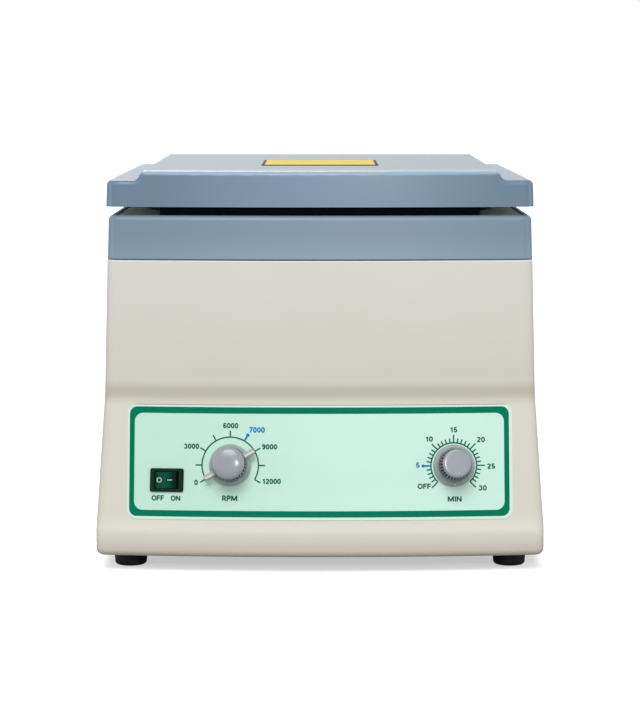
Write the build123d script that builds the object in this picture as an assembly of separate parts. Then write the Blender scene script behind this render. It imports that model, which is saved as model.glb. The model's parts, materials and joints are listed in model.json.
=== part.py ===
from build123d import *
from math import asin, atan, atan2, cos, sin, sqrt, tan
import os

# Bench centrifuge for capillary blood tubes. All sizes are in millimetres.
# X runs to the viewer's right, Y runs from the front to the back and Z is up from the table.
# While it is built, Y = 0 is the middle of the lid's front edge. The last lines move the
# whole machine so that the origin lies on the table under its middle.

# Bowl and deck: the tubes set the rotor, the rotor sets the bowl, and the bowl sets the width and depth
bowl_radius = 106.0
bowl_flange = 12.0
deck_side_margin = 14.1
deck_front_margin = 15.0
deck_rear_margin = 44.0
bowl_y = deck_front_margin + bowl_flange + bowl_radius
collar_top_width = 2 * (bowl_radius + bowl_flange + deck_side_margin)
top_rear = bowl_y + bowl_radius + bowl_flange + deck_rear_margin

# Outer form of the body, each side leaning out towards the table
collar_taper = 0.8
shoulder_ledge = 0.1
upper_wall_taper = 2.4
console_flare = 4.6
rear_ledge = 1.0
collar_foot_width = collar_top_width + 2 * collar_taper
shoulder_width = collar_foot_width + 2 * shoulder_ledge
waist_width = shoulder_width + 2 * upper_wall_taper
base_width = waist_width + 2 * console_flare
body_rear = top_rear + rear_ledge
foot_height = 10.5
skirt_height = 15.5
console_height = 84.0
upper_wall_height = 84.0
console_reach = 20.5
crown_radius = 1122.0
crown_sweep = 30.0
body_front = 0.5
wall = 3.0
skirt_round = 14.0
waist_round = 24.0
body_corner = 6.0
bottom_round = 4.0
seam_round = 0.6
ledge_width = 13.0

# Collar on top of the body
collar_height = 27.8
collar_wall = 3.5
collar_web = 3.0
collar_rim = 3.4
collar_round = 3.0
rim_corner = 7.0
top_front = 0.0
draft_step = 1.0

# Sheet metal on the collar and the bowl
deck_drop = 0.6
deck_sheet = 1.2
deck_clearance = 0.8
bowl_sheet = 1.5
bowl_depth = 69.7
bowl_corner = 12.0
bowl_clearance = 0.5
bowl_port = 20.0
strip_end_gap = 32.35
strip_width = collar_top_width - 2 * strip_end_gap
strip_depth = 8.0
strip_clearance = 0.3

# Lid
lid_gap = 5.4
lid_overhang = 1.4
lid_rim_height = 16.6
lid_draft = 0.6
platform_margin = 19.6
platform_side = 3.2
platform_front_rise = 5.7
platform_rear_rise = 7.7
platform_rear_margin = 19.0
lid_width = collar_top_width + 2 * lid_overhang
platform_foot_width = lid_width - 2 * platform_margin
platform_top_width = platform_foot_width - 2 * platform_side
platform_rear = top_rear - platform_rear_margin
platform_round = 3.4
platform_foot_round = 4.0
lid_wall = 3.0
lid_round = 3.2
liner_sheet = 2.0
liner_recess = 2.0
liner_clearance = 0.4
seal_stand_off = 2.0
seal_width = 8.0
seal_inner = bowl_radius + seal_stand_off
seal_outer = seal_inner + seal_width
seal_clearance = 0.3
plate_size = 76.0
plate_front = 84.0
plate_sheet = 0.5

# Rotor for the capillary tubes
rotor_lift = 30.5
rotor_clearance = 8.0
rotor_radius = bowl_radius - rotor_clearance
rotor_plate_sheet = 5.0
rotor_rim_height = 14.0
rotor_rim_width = 6.0
tube_slots = 24
tube_slot_width = 2.0
tube_slot_depth = 2.0
tube_slot_start = 16.0
gasket_width = 2.4
gasket_height = 6.0
cover_sheet = 2.0
cover_boss_radius = 11.0
cover_dome_radius = 22.0
cover_dome_height = 2.0
hub_radius = 16.0
hub_sleeve_radius = 9.0
hub_flange = 4.0
hub_length = 14.0
nut_radius = 14.0
nut_height = 14.0
nut_grips = 24
nut_grip_radius = 1.0
nut_gap = 0.3
stud_length = 22.0
stud_radius = 3.0

# Drive motor
shaft_radius = 4.0
running_clearance = 0.05
seat_clearance = 0.02
motor_radius = 42.0
can_wall = 2.0
can_length = 64.0
bracket_depth = 8.0
ear_sheet = 6.0
ear_radius = 9.0
mount_spread = 44.0
bearing_boss_radius = 14.0
bearing_boss_height = 8.3
bearing_radius = 11.0
bearing_width = 7.0
boss_lip_radius = 6.0
pole_depth = 15.4
pole_bore = motor_radius - pole_depth
yoke_width = 7.0
stack_length = 30.0
stack_lift = 18.0
coil_overhang = 4.0
coil_margin = 0.6
air_gap = 0.6
winding_step = 5.0
armature_radius = pole_bore - air_gap
winding_radius = armature_radius - winding_step
armature_slots = 12
armature_slot_width = 2.4
armature_slot_depth = 9.0
winding_length = 5.0
commutator_radius = 12.0
commutator_length = 9.0
commutator_lift = 3.0
commutator_bars = 12
commutator_cut = 0.6
brush_width = 6.0
brush_height = 7.0
brush_length = 12.0
brush_gap = 0.3
holder_wall = 1.2
fan_inset = 6.0
fan_radius = motor_radius - can_wall - fan_inset
fan_height = 7.0
fan_hub_radius = 9.0
fan_blades = 9
fan_blade_sheet = 1.2
fan_disc = 1.2
fan_gap = 2.0
pillar_radius = 6.0
motor_drop = 13.2
mount_radius = 9.0
mount_height = 12.0
boot_radius = 14.5
boot_wall = 2.5
boot_lip = 3.0
boot_gap = 0.3

# Base plate, feet and screws
base_sheet = 2.0
base_clearance = 0.3
base_vents = 9
base_vent_pitch = 8.0
base_vent_width = 3.0
base_vent_length = 46.0
base_vent_inset = 48.0
base_vent_x = base_width / 2 - base_vent_inset
base_boss_radius = 6.5
base_boss_height = 26.0
base_boss_inset = 9.0
base_boss_front = 45.0
base_boss_back = 34.0
base_boss_shift = 2.0
base_boss_x = base_width / 2 - base_boss_inset
base_boss_rows = (base_boss_front, body_rear / 2 + base_boss_shift, body_rear - base_boss_back)
foot_radius = 10.8
foot_taper = 0.9
foot_inset = 19.8
foot_front = 16.5
foot_back = 20.0
foot_x = base_width / 2 - foot_inset
foot_rear = body_rear - foot_back
foot_round = 2.2
foot_bore = 4.6
foot_web = 4.0
screw_radius = 2.0
screw_head_radius = 3.7
screw_head_height = 2.4
screw_hole = 2.2
thread_depth = 10.0

# Screws that hold the collar, the deck and the lid liner
collar_boss_radius = 4.6
collar_boss_inset = 8.1
collar_boss_front = 26.0
collar_boss_back = 25.0
deck_screw_inset = 16.1
deck_screw_front = 30.0
deck_screw_back = 39.0
collar_boss_x = collar_foot_width / 2 - collar_boss_inset
collar_boss_rows = (collar_boss_front, body_rear / 2, top_rear - collar_boss_back)
deck_screw_x = collar_top_width / 2 - deck_screw_inset
deck_screw_rows = (deck_screw_front, top_rear - deck_screw_back)
deck_boss_height = 9.0
lid_boss_radius = 4.0
lid_boss_inset = 10.5
lid_boss_front = 30.0
lid_boss_back = 33.0
lid_boss_x = lid_width / 2 - lid_boss_inset
lid_boss_rows = (lid_boss_front, body_rear / 2, top_rear - lid_boss_back)
lid_screw_length = 8.0

# Lid hinges
hinge_inset = 47.1
hinge_x = collar_top_width / 2 - hinge_inset
hinge_length = 44.0
hinge_sheet = 1.6
hinge_knuckle = 3.5
hinge_pin_radius = 1.75
hinge_stand_off = 0.6
hinge_joint_gap = 0.3
hinge_middle = 16.0
hinge_relief = 1.0
hinge_leaf_body = 20.0
hinge_leaf_lid = 13.0
hinge_screw_x = 14.0
hinge_screw_radius = 1.6
hinge_head_radius = 3.0
hinge_head_height = 1.6
hinge_screw_length = 7.0

# Control label and controls
label_side_gap = 19.8
label_low_gap = 8.1
label_high_gap = 5.9
label_corner = 5.9
label_sheet = 0.4
speed_inset = 64.3
speed_rise = 33.0
timer_inset = 36.8
timer_rise = 32.5
switch_inset = 24.8
switch_rise = 23.6
skirt_radius = 13.0
knob_gap = 0.8
knob_skirt = 3.4
knob_skirt_rise = 1.6
knob_shell = 1.6
speed_grip_radius = 9.6
speed_cap_radius = 10.0
timer_grip_radius = 9.6
timer_cap_radius = 8.8
grip_height = 11.0
cap_height = 3.4
cap_round = 2.6
cap_overhang = 0.5
grip_flutes = 24
flute_radius = 0.7
pointer_length = 35.0
pointer_width = 3.7
pointer_height = 2.2
pointer_hub_radius = 5.2
pointer_end_round = 0.8
speed_zero = 210.0
control_shaft_radius = 3.0
bushing_radius = 4.6
bushing_reach = 2.6
panel_nut_radius = 7.0
panel_nut_height = 2.2
potentiometer_radius = 12.0
potentiometer_depth = 11.0
timer_case = 44.0
timer_depth = 34.0
control_stand_off = 1.2
shaft_insertion = 9.0
bezel_width = 21.0
bezel_height = 14.6
bezel_rise = 1.8
switch_body_width = 18.6
switch_body_height = 12.6
switch_body_depth = 22.0
rocker_width = 14.6
rocker_height = 10.5
rocker_pivot_depth = 2.0
rocker_rise = 3.4
rocker_dip = 0.9
rocker_depth = 4.4
rocker_gap = 0.35
rocker_tilt = 9.0

# Mains inlet and fuse on the back
service_rise = 41.5
inlet_inset = 44.0
fuse_spacing = 44.0
inlet_x = base_width / 2 - inlet_inset
fuse_x = inlet_x - fuse_spacing
service_z = foot_height + service_rise
inlet_width = 27.0
inlet_height = 20.0
inlet_flange_width = 49.0
inlet_flange_height = 24.0
inlet_flange_sheet = 3.0
inlet_corner = 3.0
inlet_depth = 22.0
socket_width = 23.6
socket_height = 16.0
socket_depth = 17.0
pin_width = 4.0
pin_sheet = 2.0
pin_length = 14.0
pin_spread = 7.0
pin_rise = 2.0
inlet_screw_spread = 20.0
fuse_radius = 6.2
fuse_flange_radius = 9.0
fuse_flange = 2.0
fuse_depth = 36.0
fuse_cap_radius = 5.0
fuse_cap_reach = 8.0
fuse_cap_insert = 10.0
fuse_cap_gap = 0.3
fuse_cap_slot = 1.4
fuse_slot_depth = 2.0
fuse_cap_lip = 1.6
fuse_cap_chamfer = 1.0
rear_vents = 12
rear_vent_pitch = 8.0
rear_vent_width = 3.2
rear_vent_height = 44.0
rear_vent_inset = 88.0
rear_vent_rise = 2.0
rear_vent_x = rear_vent_inset - base_width / 2

# Speed control board on the base plate
board_inset = 47.0
board_set_forward = 25.0
board_x = board_inset - base_width / 2
board_y = bowl_y - board_set_forward
board_width = 56.0
board_length = 96.0
board_sheet = 1.6
spacer_height = 10.0
spacer_radius = 3.2
spacer_inset = 5.0
choke_place = (-16.0, -29.0)
choke_size = (16.0, 30.0, 14.0)
heat_sink_place = (9.5, -27.0)
heat_sink_size = (3.0, 34.0, 24.0)
terminal_place = (-2.0, 33.0)
terminal_size = (44.0, 10.0, 11.0)
relay_place = (7.0, 1.0)
relay_size = (18.0, 18.0, 9.0)
capacitor_places = ((-17.0, 2.0), (-17.0, 18.0), (8.0, 19.0))
capacitor_radii = (6.5, 5.0, 4.0)
capacitor_heights = (20.0, 16.0, 11.0)

# Levels worked out from the sizes above
base_z = foot_height
skirt_top = base_z + skirt_height
waist_z = skirt_top + console_height
shoulder_z = waist_z + upper_wall_height
collar_top = shoulder_z + collar_height
deck_top = collar_top - deck_drop
web_top = deck_top - deck_sheet
web_low = web_top - collar_web
lid_low = collar_top + lid_gap
lid_shoulder = lid_low + lid_rim_height
liner_low = lid_low + liner_recess
liner_top = liner_low + liner_sheet
bowl_floor = deck_top - bowl_depth
base_top = base_z + base_sheet
console_slope = atan(console_reach / console_height)
crown_centre = body_front + crown_radius
label_width = base_width - 2 * label_side_gap
label_low = skirt_top + label_low_gap
label_high = waist_z - label_high_gap
speed_x = speed_inset - label_width / 2
speed_z = label_low + speed_rise
timer_x = label_width / 2 - timer_inset
timer_z = label_low + timer_rise
switch_x = switch_inset - label_width / 2
switch_z = label_low + switch_rise
rear_vent_z = waist_z + rear_vent_rise
wide = 400.0

pieces = {}


def block(low, high):
    """Box between two opposite corners."""
    size = [b - a for a, b in zip(low, high)]
    middle = [(a + b) / 2 for a, b in zip(low, high)]
    return Pos(*middle) * Box(*size)


def disc(radius, low, high):
    """Round solid on the Z axis between two heights."""
    return Pos(0, 0, (low + high) / 2) * Cylinder(radius, high - low)


def ring(outer, inner, low, high):
    """Tube on the Z axis between two heights."""
    return disc(outer, low, high) - disc(inner, low, high)


def group(solids):
    """Like pieces kept as separate solids in one node."""
    return Compound(children=list(solids))


def around(count, radius=0.0, start=0.0):
    """Places evenly spaced round the Z axis, turned with their angle."""
    return [Rot(0, 0, start + 360.0 * i / count) * Pos(radius, 0, 0) for i in range(count)]


def upright(x, y, z=0.0):
    return Pos(x, y, z)


def screw(length, radius=screw_radius, head_radius=screw_head_radius, head_height=screw_head_height):
    """Round-headed screw with its head above z = 0 and its shank below."""
    head = disc(head_radius, 0, head_height)
    head = fillet(head.edges().group_by(Axis.Z)[-1], head_height * 0.45)
    shank = disc(radius, -length, 0)
    slot = block((-head_radius, -0.4, head_height * 0.55), (head_radius, 0.4, head_height))
    cross = slot + Rot(0, 0, 90) * slot
    return head + shank - cross


def plan_face(half_width, front, rear, corner, z, inset=0.0):
    """Level outline with a bowed front edge and round corners, moved inwards by inset."""
    half = half_width - inset
    front = front + inset
    rear = rear - inset
    corner = max(corner - inset, 0.8)
    radius = crown_radius - inset
    centre = front + radius
    corner_x = half - corner
    corner_y = centre - sqrt((radius - corner) ** 2 - corner_x ** 2)
    stretch = radius / (radius - corner)
    join = (corner_x * stretch, centre - (centre - corner_y) * stretch)
    middle_angle = atan2(join[1] - corner_y, join[0] - corner_x) / 2
    middle = (corner_x + corner * cos(middle_angle), corner_y + corner * sin(middle_angle))
    back = corner * (1 - sqrt(0.5))
    edges = [
        ThreePointArc((-join[0], join[1]), (0, front), join),
        ThreePointArc(join, middle, (half, corner_y)),
        Line((half, corner_y), (half, rear - corner)),
        ThreePointArc((half, rear - corner), (half - back, rear - back), (corner_x, rear)),
        Line((corner_x, rear), (-corner_x, rear)),
        ThreePointArc((-corner_x, rear), (-half + back, rear - back), (-half, rear - corner)),
        Line((-half, rear - corner), (-half, corner_y)),
        ThreePointArc((-half, corner_y), (-middle[0], middle[1]), (-join[0], join[1])),
    ]
    return Pos(0, 0, z) * make_face(edges)


def plan_slab(half_width, front, rear, corner, low, high, inset=0.0):
    """Upright slab on a plan_face outline."""
    return extrude(plan_face(half_width, front, rear, corner, low, inset), high - low)


def body_form(inset, low, high, corner):
    """Body filled solid: a side profile bowed about a far upright axis, trimmed to the front view."""
    lean = inset * tan(console_slope / 2)
    skirt_front = body_front - console_reach + inset
    bottom = (skirt_front, low)
    skirt = (skirt_front, skirt_top - lean)
    waist = (body_front + inset, waist_z - lean)
    shoulder = (body_front + inset, high)
    rounds = [skirt_round - inset, waist_round + inset]
    front_line = FilletPolyline(bottom, skirt, waist, shoulder, radius=rounds)
    rear_line = Polyline(shoulder, (wide * 1.5, high), (wide * 1.5, low), bottom)
    profile = Plane.YZ * make_face(front_line.edges() + rear_line.edges())
    crown_axis = Axis((0, crown_centre, 0), (0, 0, 1))
    bowed = revolve(profile, crown_axis, crown_sweep).rotate(crown_axis, -crown_sweep / 2)
    half_view = [
        (base_width / 2 - inset, low),
        (base_width / 2 - inset, skirt_top),
        (waist_width / 2 - inset, waist_z),
        (shoulder_width / 2 - inset, high),
    ]
    view = [(-x, z) for x, z in half_view] + list(reversed(half_view))
    outline = make_face(Polyline(*view, close=True).edges())
    rear_plane = Plane(origin=(0, body_rear - inset, 0), x_dir=(1, 0, 0), z_dir=(0, -1, 0))
    form = bowed & extrude(rear_plane * outline, body_rear + wide / 4)
    uprights = [
        edge for edge in form.edges()
        if abs((edge @ 0).Z - (edge @ 1).Z) > 3.0 and abs(edge.center().X) > shoulder_width / 2 - inset - 2.0
    ]
    return fillet(uprights, corner)


def console_radius(z):
    """Distance of the console's face from the far crown axis at a height."""
    return crown_radius + console_reach * (waist_z - z) / console_height


def panel(x, z, turn=0.0):
    """Place on the label's face: local Z stands straight out of it and local X runs right."""
    radius = console_radius(z)
    swing = asin(x / radius)
    outward = Vector(cos(console_slope) * sin(swing), -cos(console_slope) * cos(swing), sin(console_slope))
    foot = Vector(x, crown_centre - radius * cos(swing), z) + outward * label_sheet
    right = Vector(cos(swing), sin(swing), 0)
    return Plane(origin=foot, x_dir=right, z_dir=outward).location * Rot(0, 0, turn)


panel_depth = label_sheet + wall
speed_spot = panel(speed_x, speed_z)
timer_spot = panel(timer_x, timer_z)
switch_spot = panel(switch_x, switch_z)
bowl_axis = Pos(0, bowl_y, 0)
hinge_y = top_rear + hinge_stand_off + hinge_knuckle
hinge_z = collar_top + lid_gap / 2
inlet_spot = Plane(origin=(inlet_x, body_rear, service_z), x_dir=(-1, 0, 0), z_dir=(0, 1, 0)).location
fuse_spot = Plane(origin=(fuse_x, body_rear, service_z), x_dir=(-1, 0, 0), z_dir=(0, 1, 0)).location
base_boss_spots = [(x, y) for x in (-base_boss_x, base_boss_x) for y in base_boss_rows]
collar_boss_spots = [(x, y) for x in (-collar_boss_x, collar_boss_x) for y in collar_boss_rows]
deck_screw_spots = [(x, y) for x in (-deck_screw_x, deck_screw_x) for y in deck_screw_rows]
lid_boss_spots = [(x, y) for x in (-lid_boss_x, lid_boss_x) for y in lid_boss_rows]
foot_spots = [(x, y) for y in (foot_front, foot_rear) for x in (-foot_x, foot_x)]
mount_spots = [(x, bowl_y + y) for x in (-mount_spread, mount_spread) for y in (-mount_spread, mount_spread)]


# Housing: one moulding, open below, with a ledge round the top
def make_housing():
    shell = body_form(0.0, base_z, shoulder_z, body_corner)
    shell = fillet(shell.edges().group_by(Axis.Z)[0], bottom_round)
    shell = fillet(shell.edges().group_by(Axis.Z)[-1], seam_round)
    shell = shell - body_form(wall, base_z - 1.0, shoulder_z - wall, body_corner - wall)
    reach = wall + ledge_width
    shell = shell - plan_slab(
        shoulder_width / 2, body_front, body_rear, body_corner + reach,
        shoulder_z - 2 * wall, shoulder_z + 1.0, reach,
    )
    boss = disc(base_boss_radius, base_top, base_top + base_boss_height)
    pilot = disc(screw_radius + seat_clearance, base_top, base_top + thread_depth + 1.0)
    for x, y in base_boss_spots:
        shell = shell + upright(x, y) * boss
    for x, y in base_boss_spots:
        shell = shell - upright(x, y) * pilot
    hole = disc(screw_hole, shoulder_z - wall - 1.0, shoulder_z + 1.0)
    for x, y in collar_boss_spots:
        shell = shell - upright(x, y) * hole
    shell = shell - control_holes(wall * 3)
    inlet_half = (inlet_width / 2, inlet_height / 2)
    inlet_window = block((-inlet_half[0], -inlet_half[1], -wall * 2), (inlet_half[0], inlet_half[1], 1))
    shell = shell - inlet_spot * inlet_window
    shell = shell - fuse_spot * disc(fuse_radius, -wall * 2, 1)
    inlet_hole = inlet_spot * disc(hinge_screw_radius + seat_clearance, -wall * 2, 1)
    for side in (-1, 1):
        shell = shell - Pos(side * inlet_screw_spread, 0, 0) * inlet_hole
    first = rear_vent_x - rear_vent_pitch * (rear_vents - 1) / 2
    vent = Plane.XZ * SlotOverall(rear_vent_height, rear_vent_width, rotation=90)
    vent_cut = extrude(vent, wall * 2 + 1)
    for i in range(rear_vents):
        shell = shell - Pos(first + i * rear_vent_pitch, body_rear + 1, rear_vent_z) * vent_cut
    return shell


def control_holes(depth):
    """Openings through the console for the two bushings and the switch."""
    bushing = disc(bushing_radius + bowl_clearance / 2, -depth, 1)
    half = (switch_body_width / 2 + base_clearance, switch_body_height / 2 + base_clearance)
    window = block((-half[0], -half[1], -depth), (half[0], half[1], 1))
    return speed_spot * bushing + timer_spot * bushing + switch_spot * window


pieces["housing"] = make_housing()

# Base plate: sheet steel with cooling slots and four spacers for the board
board_spots = [
    (board_x + sx * (board_width / 2 - spacer_inset), board_y + sy * (board_length / 2 - spacer_inset))
    for sx in (-1, 1) for sy in (-1, 1)
]
base_plate = plan_slab(
    base_width / 2, body_front - console_reach, body_rear, body_corner,
    base_z, base_top, wall + base_clearance,
)
vent_first = bowl_y - base_vent_pitch * (base_vents - 1) / 2
for side in (-1, 1):
    for i in range(base_vents):
        slot = SlotOverall(base_vent_length, base_vent_width)
        place = Pos(side * base_vent_x, vent_first + i * base_vent_pitch, base_z - 1)
        base_plate = base_plate - place * extrude(slot, base_sheet + 2)
for x, y in base_boss_spots + foot_spots:
    base_plate = base_plate - upright(x, y) * disc(screw_hole, base_z - 1, base_top + 1)
for x, y in board_spots:
    base_plate = base_plate + upright(x, y) * disc(spacer_radius, base_top, base_top + spacer_height)
pieces["base_plate"] = base_plate
pieces["base_screws"] = group(
    upright(x, y, base_z) * Rot(180, 0, 0) * screw(base_sheet + thread_depth) for x, y in base_boss_spots
)

# Rubber feet, each held by a screw through the base plate
foot = Pos(0, 0, foot_height / 2) * Cone(foot_radius - foot_taper, foot_radius, foot_height)
foot = fillet(foot.edges().group_by(Axis.Z)[0], foot_round)
foot = foot - disc(foot_bore, 0, foot_height - foot_web)
foot = foot - disc(screw_radius + seat_clearance, 0, foot_height)
foot_names = ("feet_front", "feet_rear")
for name, row in zip(foot_names, (foot_spots[:2], foot_spots[2:])):
    pieces[name] = group(upright(x, y) * foot for x, y in row)
foot_screw = Rot(180, 0, 0) * screw(foot_web + base_sheet + thread_depth / 2)
pieces["foot_screws"] = group(
    [upright(x, y, foot_height - foot_web) * foot_screw for x, y in foot_spots]
)


# Collar: moulded frame that carries the deck and the bowl
def collar_outline(z, inset=0.0):
    rise = (z - shoulder_z) / collar_height
    half = (collar_foot_width + rise * (collar_top_width - collar_foot_width)) / 2
    return plan_face(half, top_front + body_front + rise * draft_step, top_rear, rim_corner, z, inset)


collar = loft([collar_outline(shoulder_z), collar_outline(collar_top)], ruled=True)
collar = fillet(collar.edges().group_by(Axis.Z)[-1], collar_round)
collar = fillet(collar.edges().group_by(Axis.Z)[0], seam_round)
collar_hollow = [collar_outline(z, collar_wall) for z in (shoulder_z, web_low)]
collar = collar - loft(collar_hollow, ruled=True)
collar = collar - extrude(collar_outline(web_top, collar_rim + draft_step), wide / 40)
for x, y in collar_boss_spots:
    collar = collar + upright(x, y) * disc(collar_boss_radius, shoulder_z, web_low + 1)
for x, y in deck_screw_spots:
    collar = collar + upright(x, y) * disc(collar_boss_radius, web_low - deck_boss_height, web_low + 1)
collar = collar - bowl_axis * disc(bowl_radius + bowl_sheet + bowl_clearance, web_low - 1, web_top + 1)
pilot_radius = screw_radius + seat_clearance
for x, y in collar_boss_spots:
    collar = collar - upright(x, y) * disc(pilot_radius, shoulder_z, shoulder_z + thread_depth + 1)
for x, y in deck_screw_spots:
    collar = collar - upright(x, y) * disc(pilot_radius, web_low - deck_boss_height + 2, web_top + 1)
hinge_pilots = [
    Pos(side * hinge_x + near * hinge_screw_x, top_rear, 0) * Rot(-90, 0, 0)
    * disc(hinge_screw_radius + seat_clearance, -hinge_screw_length, 1)
    for side in (-1, 1) for near in (-1, 1)
]
hinge_body_screw_z = hinge_z - hinge_knuckle - hinge_relief - hinge_leaf_body / 2
hinge_lid_screw_z = hinge_z + hinge_knuckle + hinge_relief + hinge_leaf_lid / 2
for pilot in hinge_pilots:
    collar = collar - Pos(0, 0, hinge_body_screw_z) * pilot
pieces["collar"] = collar
collar_screw = Rot(180, 0, 0) * screw(wall + thread_depth)
pieces["collar_screws"] = group(upright(x, y, shoulder_z - wall) * collar_screw for x, y in collar_boss_spots)

# Deck plate, its countersunk screws and the black closing strip behind the collar's front lip
sink = Pos(0, 0, deck_top - deck_sheet / 2) * Cone(screw_radius, screw_radius + deck_sheet, deck_sheet)
sink_hole = Pos(0, 0, deck_top - deck_sheet / 2) * Cone(
    screw_radius + seat_clearance, screw_radius + deck_sheet + seat_clearance, deck_sheet
)
deck = extrude(collar_outline(web_top, collar_rim + draft_step + deck_clearance), deck_sheet)
deck = deck - bowl_axis * disc(bowl_radius + bowl_flange + bowl_clearance, web_top - 1, deck_top + 1)
for x, y in deck_screw_spots:
    deck = deck - upright(x, y) * sink_hole
pieces["deck_plate"] = deck
recess = block((-screw_radius, -0.4, deck_top - 0.7), (screw_radius, 0.4, deck_top + 1))
deck_screw = sink + disc(screw_radius, web_low - deck_boss_height + 3, web_top)
deck_screw = deck_screw - recess - Rot(0, 0, 90) * recess
pieces["deck_screws"] = group(upright(x, y) * deck_screw for x, y in deck_screw_spots)
strip_inset = collar_rim + draft_step + deck_clearance
strip = extrude(collar_outline(deck_top, strip_inset), liner_low - strip_clearance - deck_top)
strip = strip - extrude(collar_outline(deck_top, strip_inset + strip_depth), lid_gap * 3)
strip = strip & block((-strip_width / 2, 0, deck_top), (strip_width / 2, bowl_y / 2, lid_shoulder))
pieces["closing_strip"] = strip

# Spun bowl with a turned-out flange, and the rubber boot round the drive shaft
bowl = disc(bowl_radius + bowl_sheet, bowl_floor - bowl_sheet, deck_top)
bowl = fillet(bowl.edges().group_by(Axis.Z)[0], bowl_corner)
bowl = bowl + disc(bowl_radius + bowl_flange, web_top, deck_top)
hollow = disc(bowl_radius, bowl_floor, deck_top + 1)
hollow = fillet(hollow.edges().group_by(Axis.Z)[0], bowl_corner - bowl_sheet)
bowl = bowl - hollow - disc(bowl_port, bowl_floor - bowl_sheet, bowl_floor)
pieces["chamber_bowl"] = bowl_axis * bowl
boss_top = bowl_floor - motor_drop
bracket_top = boss_top - bearing_boss_height
ear_low = bracket_top - ear_sheet
mount_low = ear_low - mount_height
can_top = bracket_top - bracket_depth
can_low = can_top - can_length
lower_bracket = can_low - bracket_depth
boot_low = boss_top + boot_gap
boot = disc(boot_radius + boot_wall, boot_low, bowl_floor - bowl_sheet - boot_lip)
boot = boot + disc(bowl_port + boot_lip, bowl_floor - bowl_sheet - boot_lip, bowl_floor - bowl_sheet)
boot = boot + disc(bowl_port - seat_clearance, bowl_floor - bowl_sheet, bowl_floor)
boot = boot + disc(bowl_port + boot_lip, bowl_floor, bowl_floor + boot_lip)
boot = boot - disc(boot_radius, boss_top, bowl_floor + boot_lip + 1) - disc(boss_lip_radius, 0, wide)
boot = boot + ring(boot_radius + boot_wall, boss_lip_radius + boot_wall, boot_low, boot_low + boot_wall)
pieces["bowl_boot"] = bowl_axis * boot

# Motor: steel can, two cast brackets, bearings, field, armature, brushes and fan
bore = shaft_radius + seat_clearance
pieces["motor_can"] = bowl_axis * ring(motor_radius, motor_radius - can_wall, can_low, can_top)
top_bracket = disc(motor_radius, can_top, bracket_top) - disc(motor_radius - can_wall - 2, can_top, ear_low)
for arm in (45, 135):
    reach = mount_spread * sqrt(2)
    top_bracket = top_bracket + Rot(0, 0, arm) * block(
        (-reach, -ear_radius, ear_low), (reach, ear_radius, bracket_top)
    )
for x, y in mount_spots:
    top_bracket = top_bracket + Pos(x, y - bowl_y, 0) * disc(ear_radius, ear_low, bracket_top)
top_bracket = top_bracket + disc(bearing_boss_radius, ear_low, boss_top)
bearing_top = boss_top - 1
top_bracket = top_bracket - disc(bearing_radius + seat_clearance, can_top, bearing_top)
top_bracket = top_bracket - disc(boss_lip_radius, can_top, boss_top)
bolt_hole = disc(stud_radius + bowl_clearance / 2, ear_low, bracket_top)
for x, y in mount_spots:
    top_bracket = top_bracket - Pos(x, y - bowl_y, 0) * bolt_hole
pieces["motor_top_bracket"] = bowl_axis * top_bracket
low_bracket = disc(motor_radius, lower_bracket, can_low)
low_bracket = low_bracket - disc(motor_radius - can_wall - 2, lower_bracket + 3, can_low)
low_bracket = low_bracket + disc(bearing_boss_radius, lower_bracket - bearing_boss_height, can_low - 2)
low_bearing = lower_bracket - bearing_boss_height + 1
low_bracket = low_bracket - disc(bearing_radius + seat_clearance, low_bearing, can_low)
low_bracket = low_bracket - disc(boss_lip_radius, 0, can_low)
pieces["motor_bottom_bracket"] = bowl_axis * low_bracket
bearing_levels = (bearing_top - bearing_width, low_bearing)
bearing = ring(bearing_radius, shaft_radius + running_clearance, 0, bearing_width)
pieces["motor_bearings"] = group(bowl_axis * Pos(0, 0, z) * bearing for z in bearing_levels)
stack_low = can_low + stack_lift
stack_top = stack_low + stack_length
yoke_inner = motor_radius - can_wall - yoke_width
stack = ring(motor_radius - can_wall - seat_clearance, yoke_inner, stack_low, stack_top)
for side in (0, 180):
    pole = block((0, -yoke_inner * 0.8, stack_low), (yoke_inner + 2, yoke_inner * 0.8, stack_top))
    stack = stack + (Rot(0, 0, side) * pole & disc(yoke_inner + 1, stack_low, stack_top))
pieces["field_stack"] = bowl_axis * (stack - disc(pole_bore, stack_low, stack_top))
coil_inner = pole_bore + coil_margin * 2
coil = ring(yoke_inner - coil_margin, coil_inner, stack_low - coil_overhang, stack_top + coil_overhang)
coil_reach = yoke_inner * 0.55
coil_low = yoke_inner * 0.8 + coil_margin
coils = []
for side in (0, 180):
    keep = block((-coil_reach, coil_low, 0), (coil_reach, wide, wide))
    coils.append(bowl_axis * Rot(0, 0, side) * (coil & keep))
pieces["field_coils"] = group(coils)
armature = disc(armature_radius, stack_low, stack_top)
tooth_gap = block(
    (armature_radius - armature_slot_depth, -armature_slot_width / 2, stack_low),
    (armature_radius + 1, armature_slot_width / 2, stack_top),
)
for place in around(armature_slots):
    armature = armature - place * tooth_gap
armature = armature + disc(winding_radius, stack_low - winding_length, stack_low)
armature = armature + disc(winding_radius, stack_top, stack_top + winding_length)
pieces["armature"] = bowl_axis * (armature - disc(bore, 0, wide))
commutator_low = can_low + commutator_lift
commutator_top = commutator_low + commutator_length
commutator = ring(commutator_radius, bore, commutator_low, commutator_top)
bar_cut = block(
    (commutator_radius - 1.2, -commutator_cut / 2, commutator_low),
    (commutator_radius + 1, commutator_cut / 2, commutator_top),
)
for place in around(commutator_bars):
    commutator = commutator - place * bar_cut
pieces["commutator"] = bowl_axis * commutator
brush_middle = (commutator_low + commutator_top) / 2
brush_in = commutator_radius + brush_gap
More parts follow.
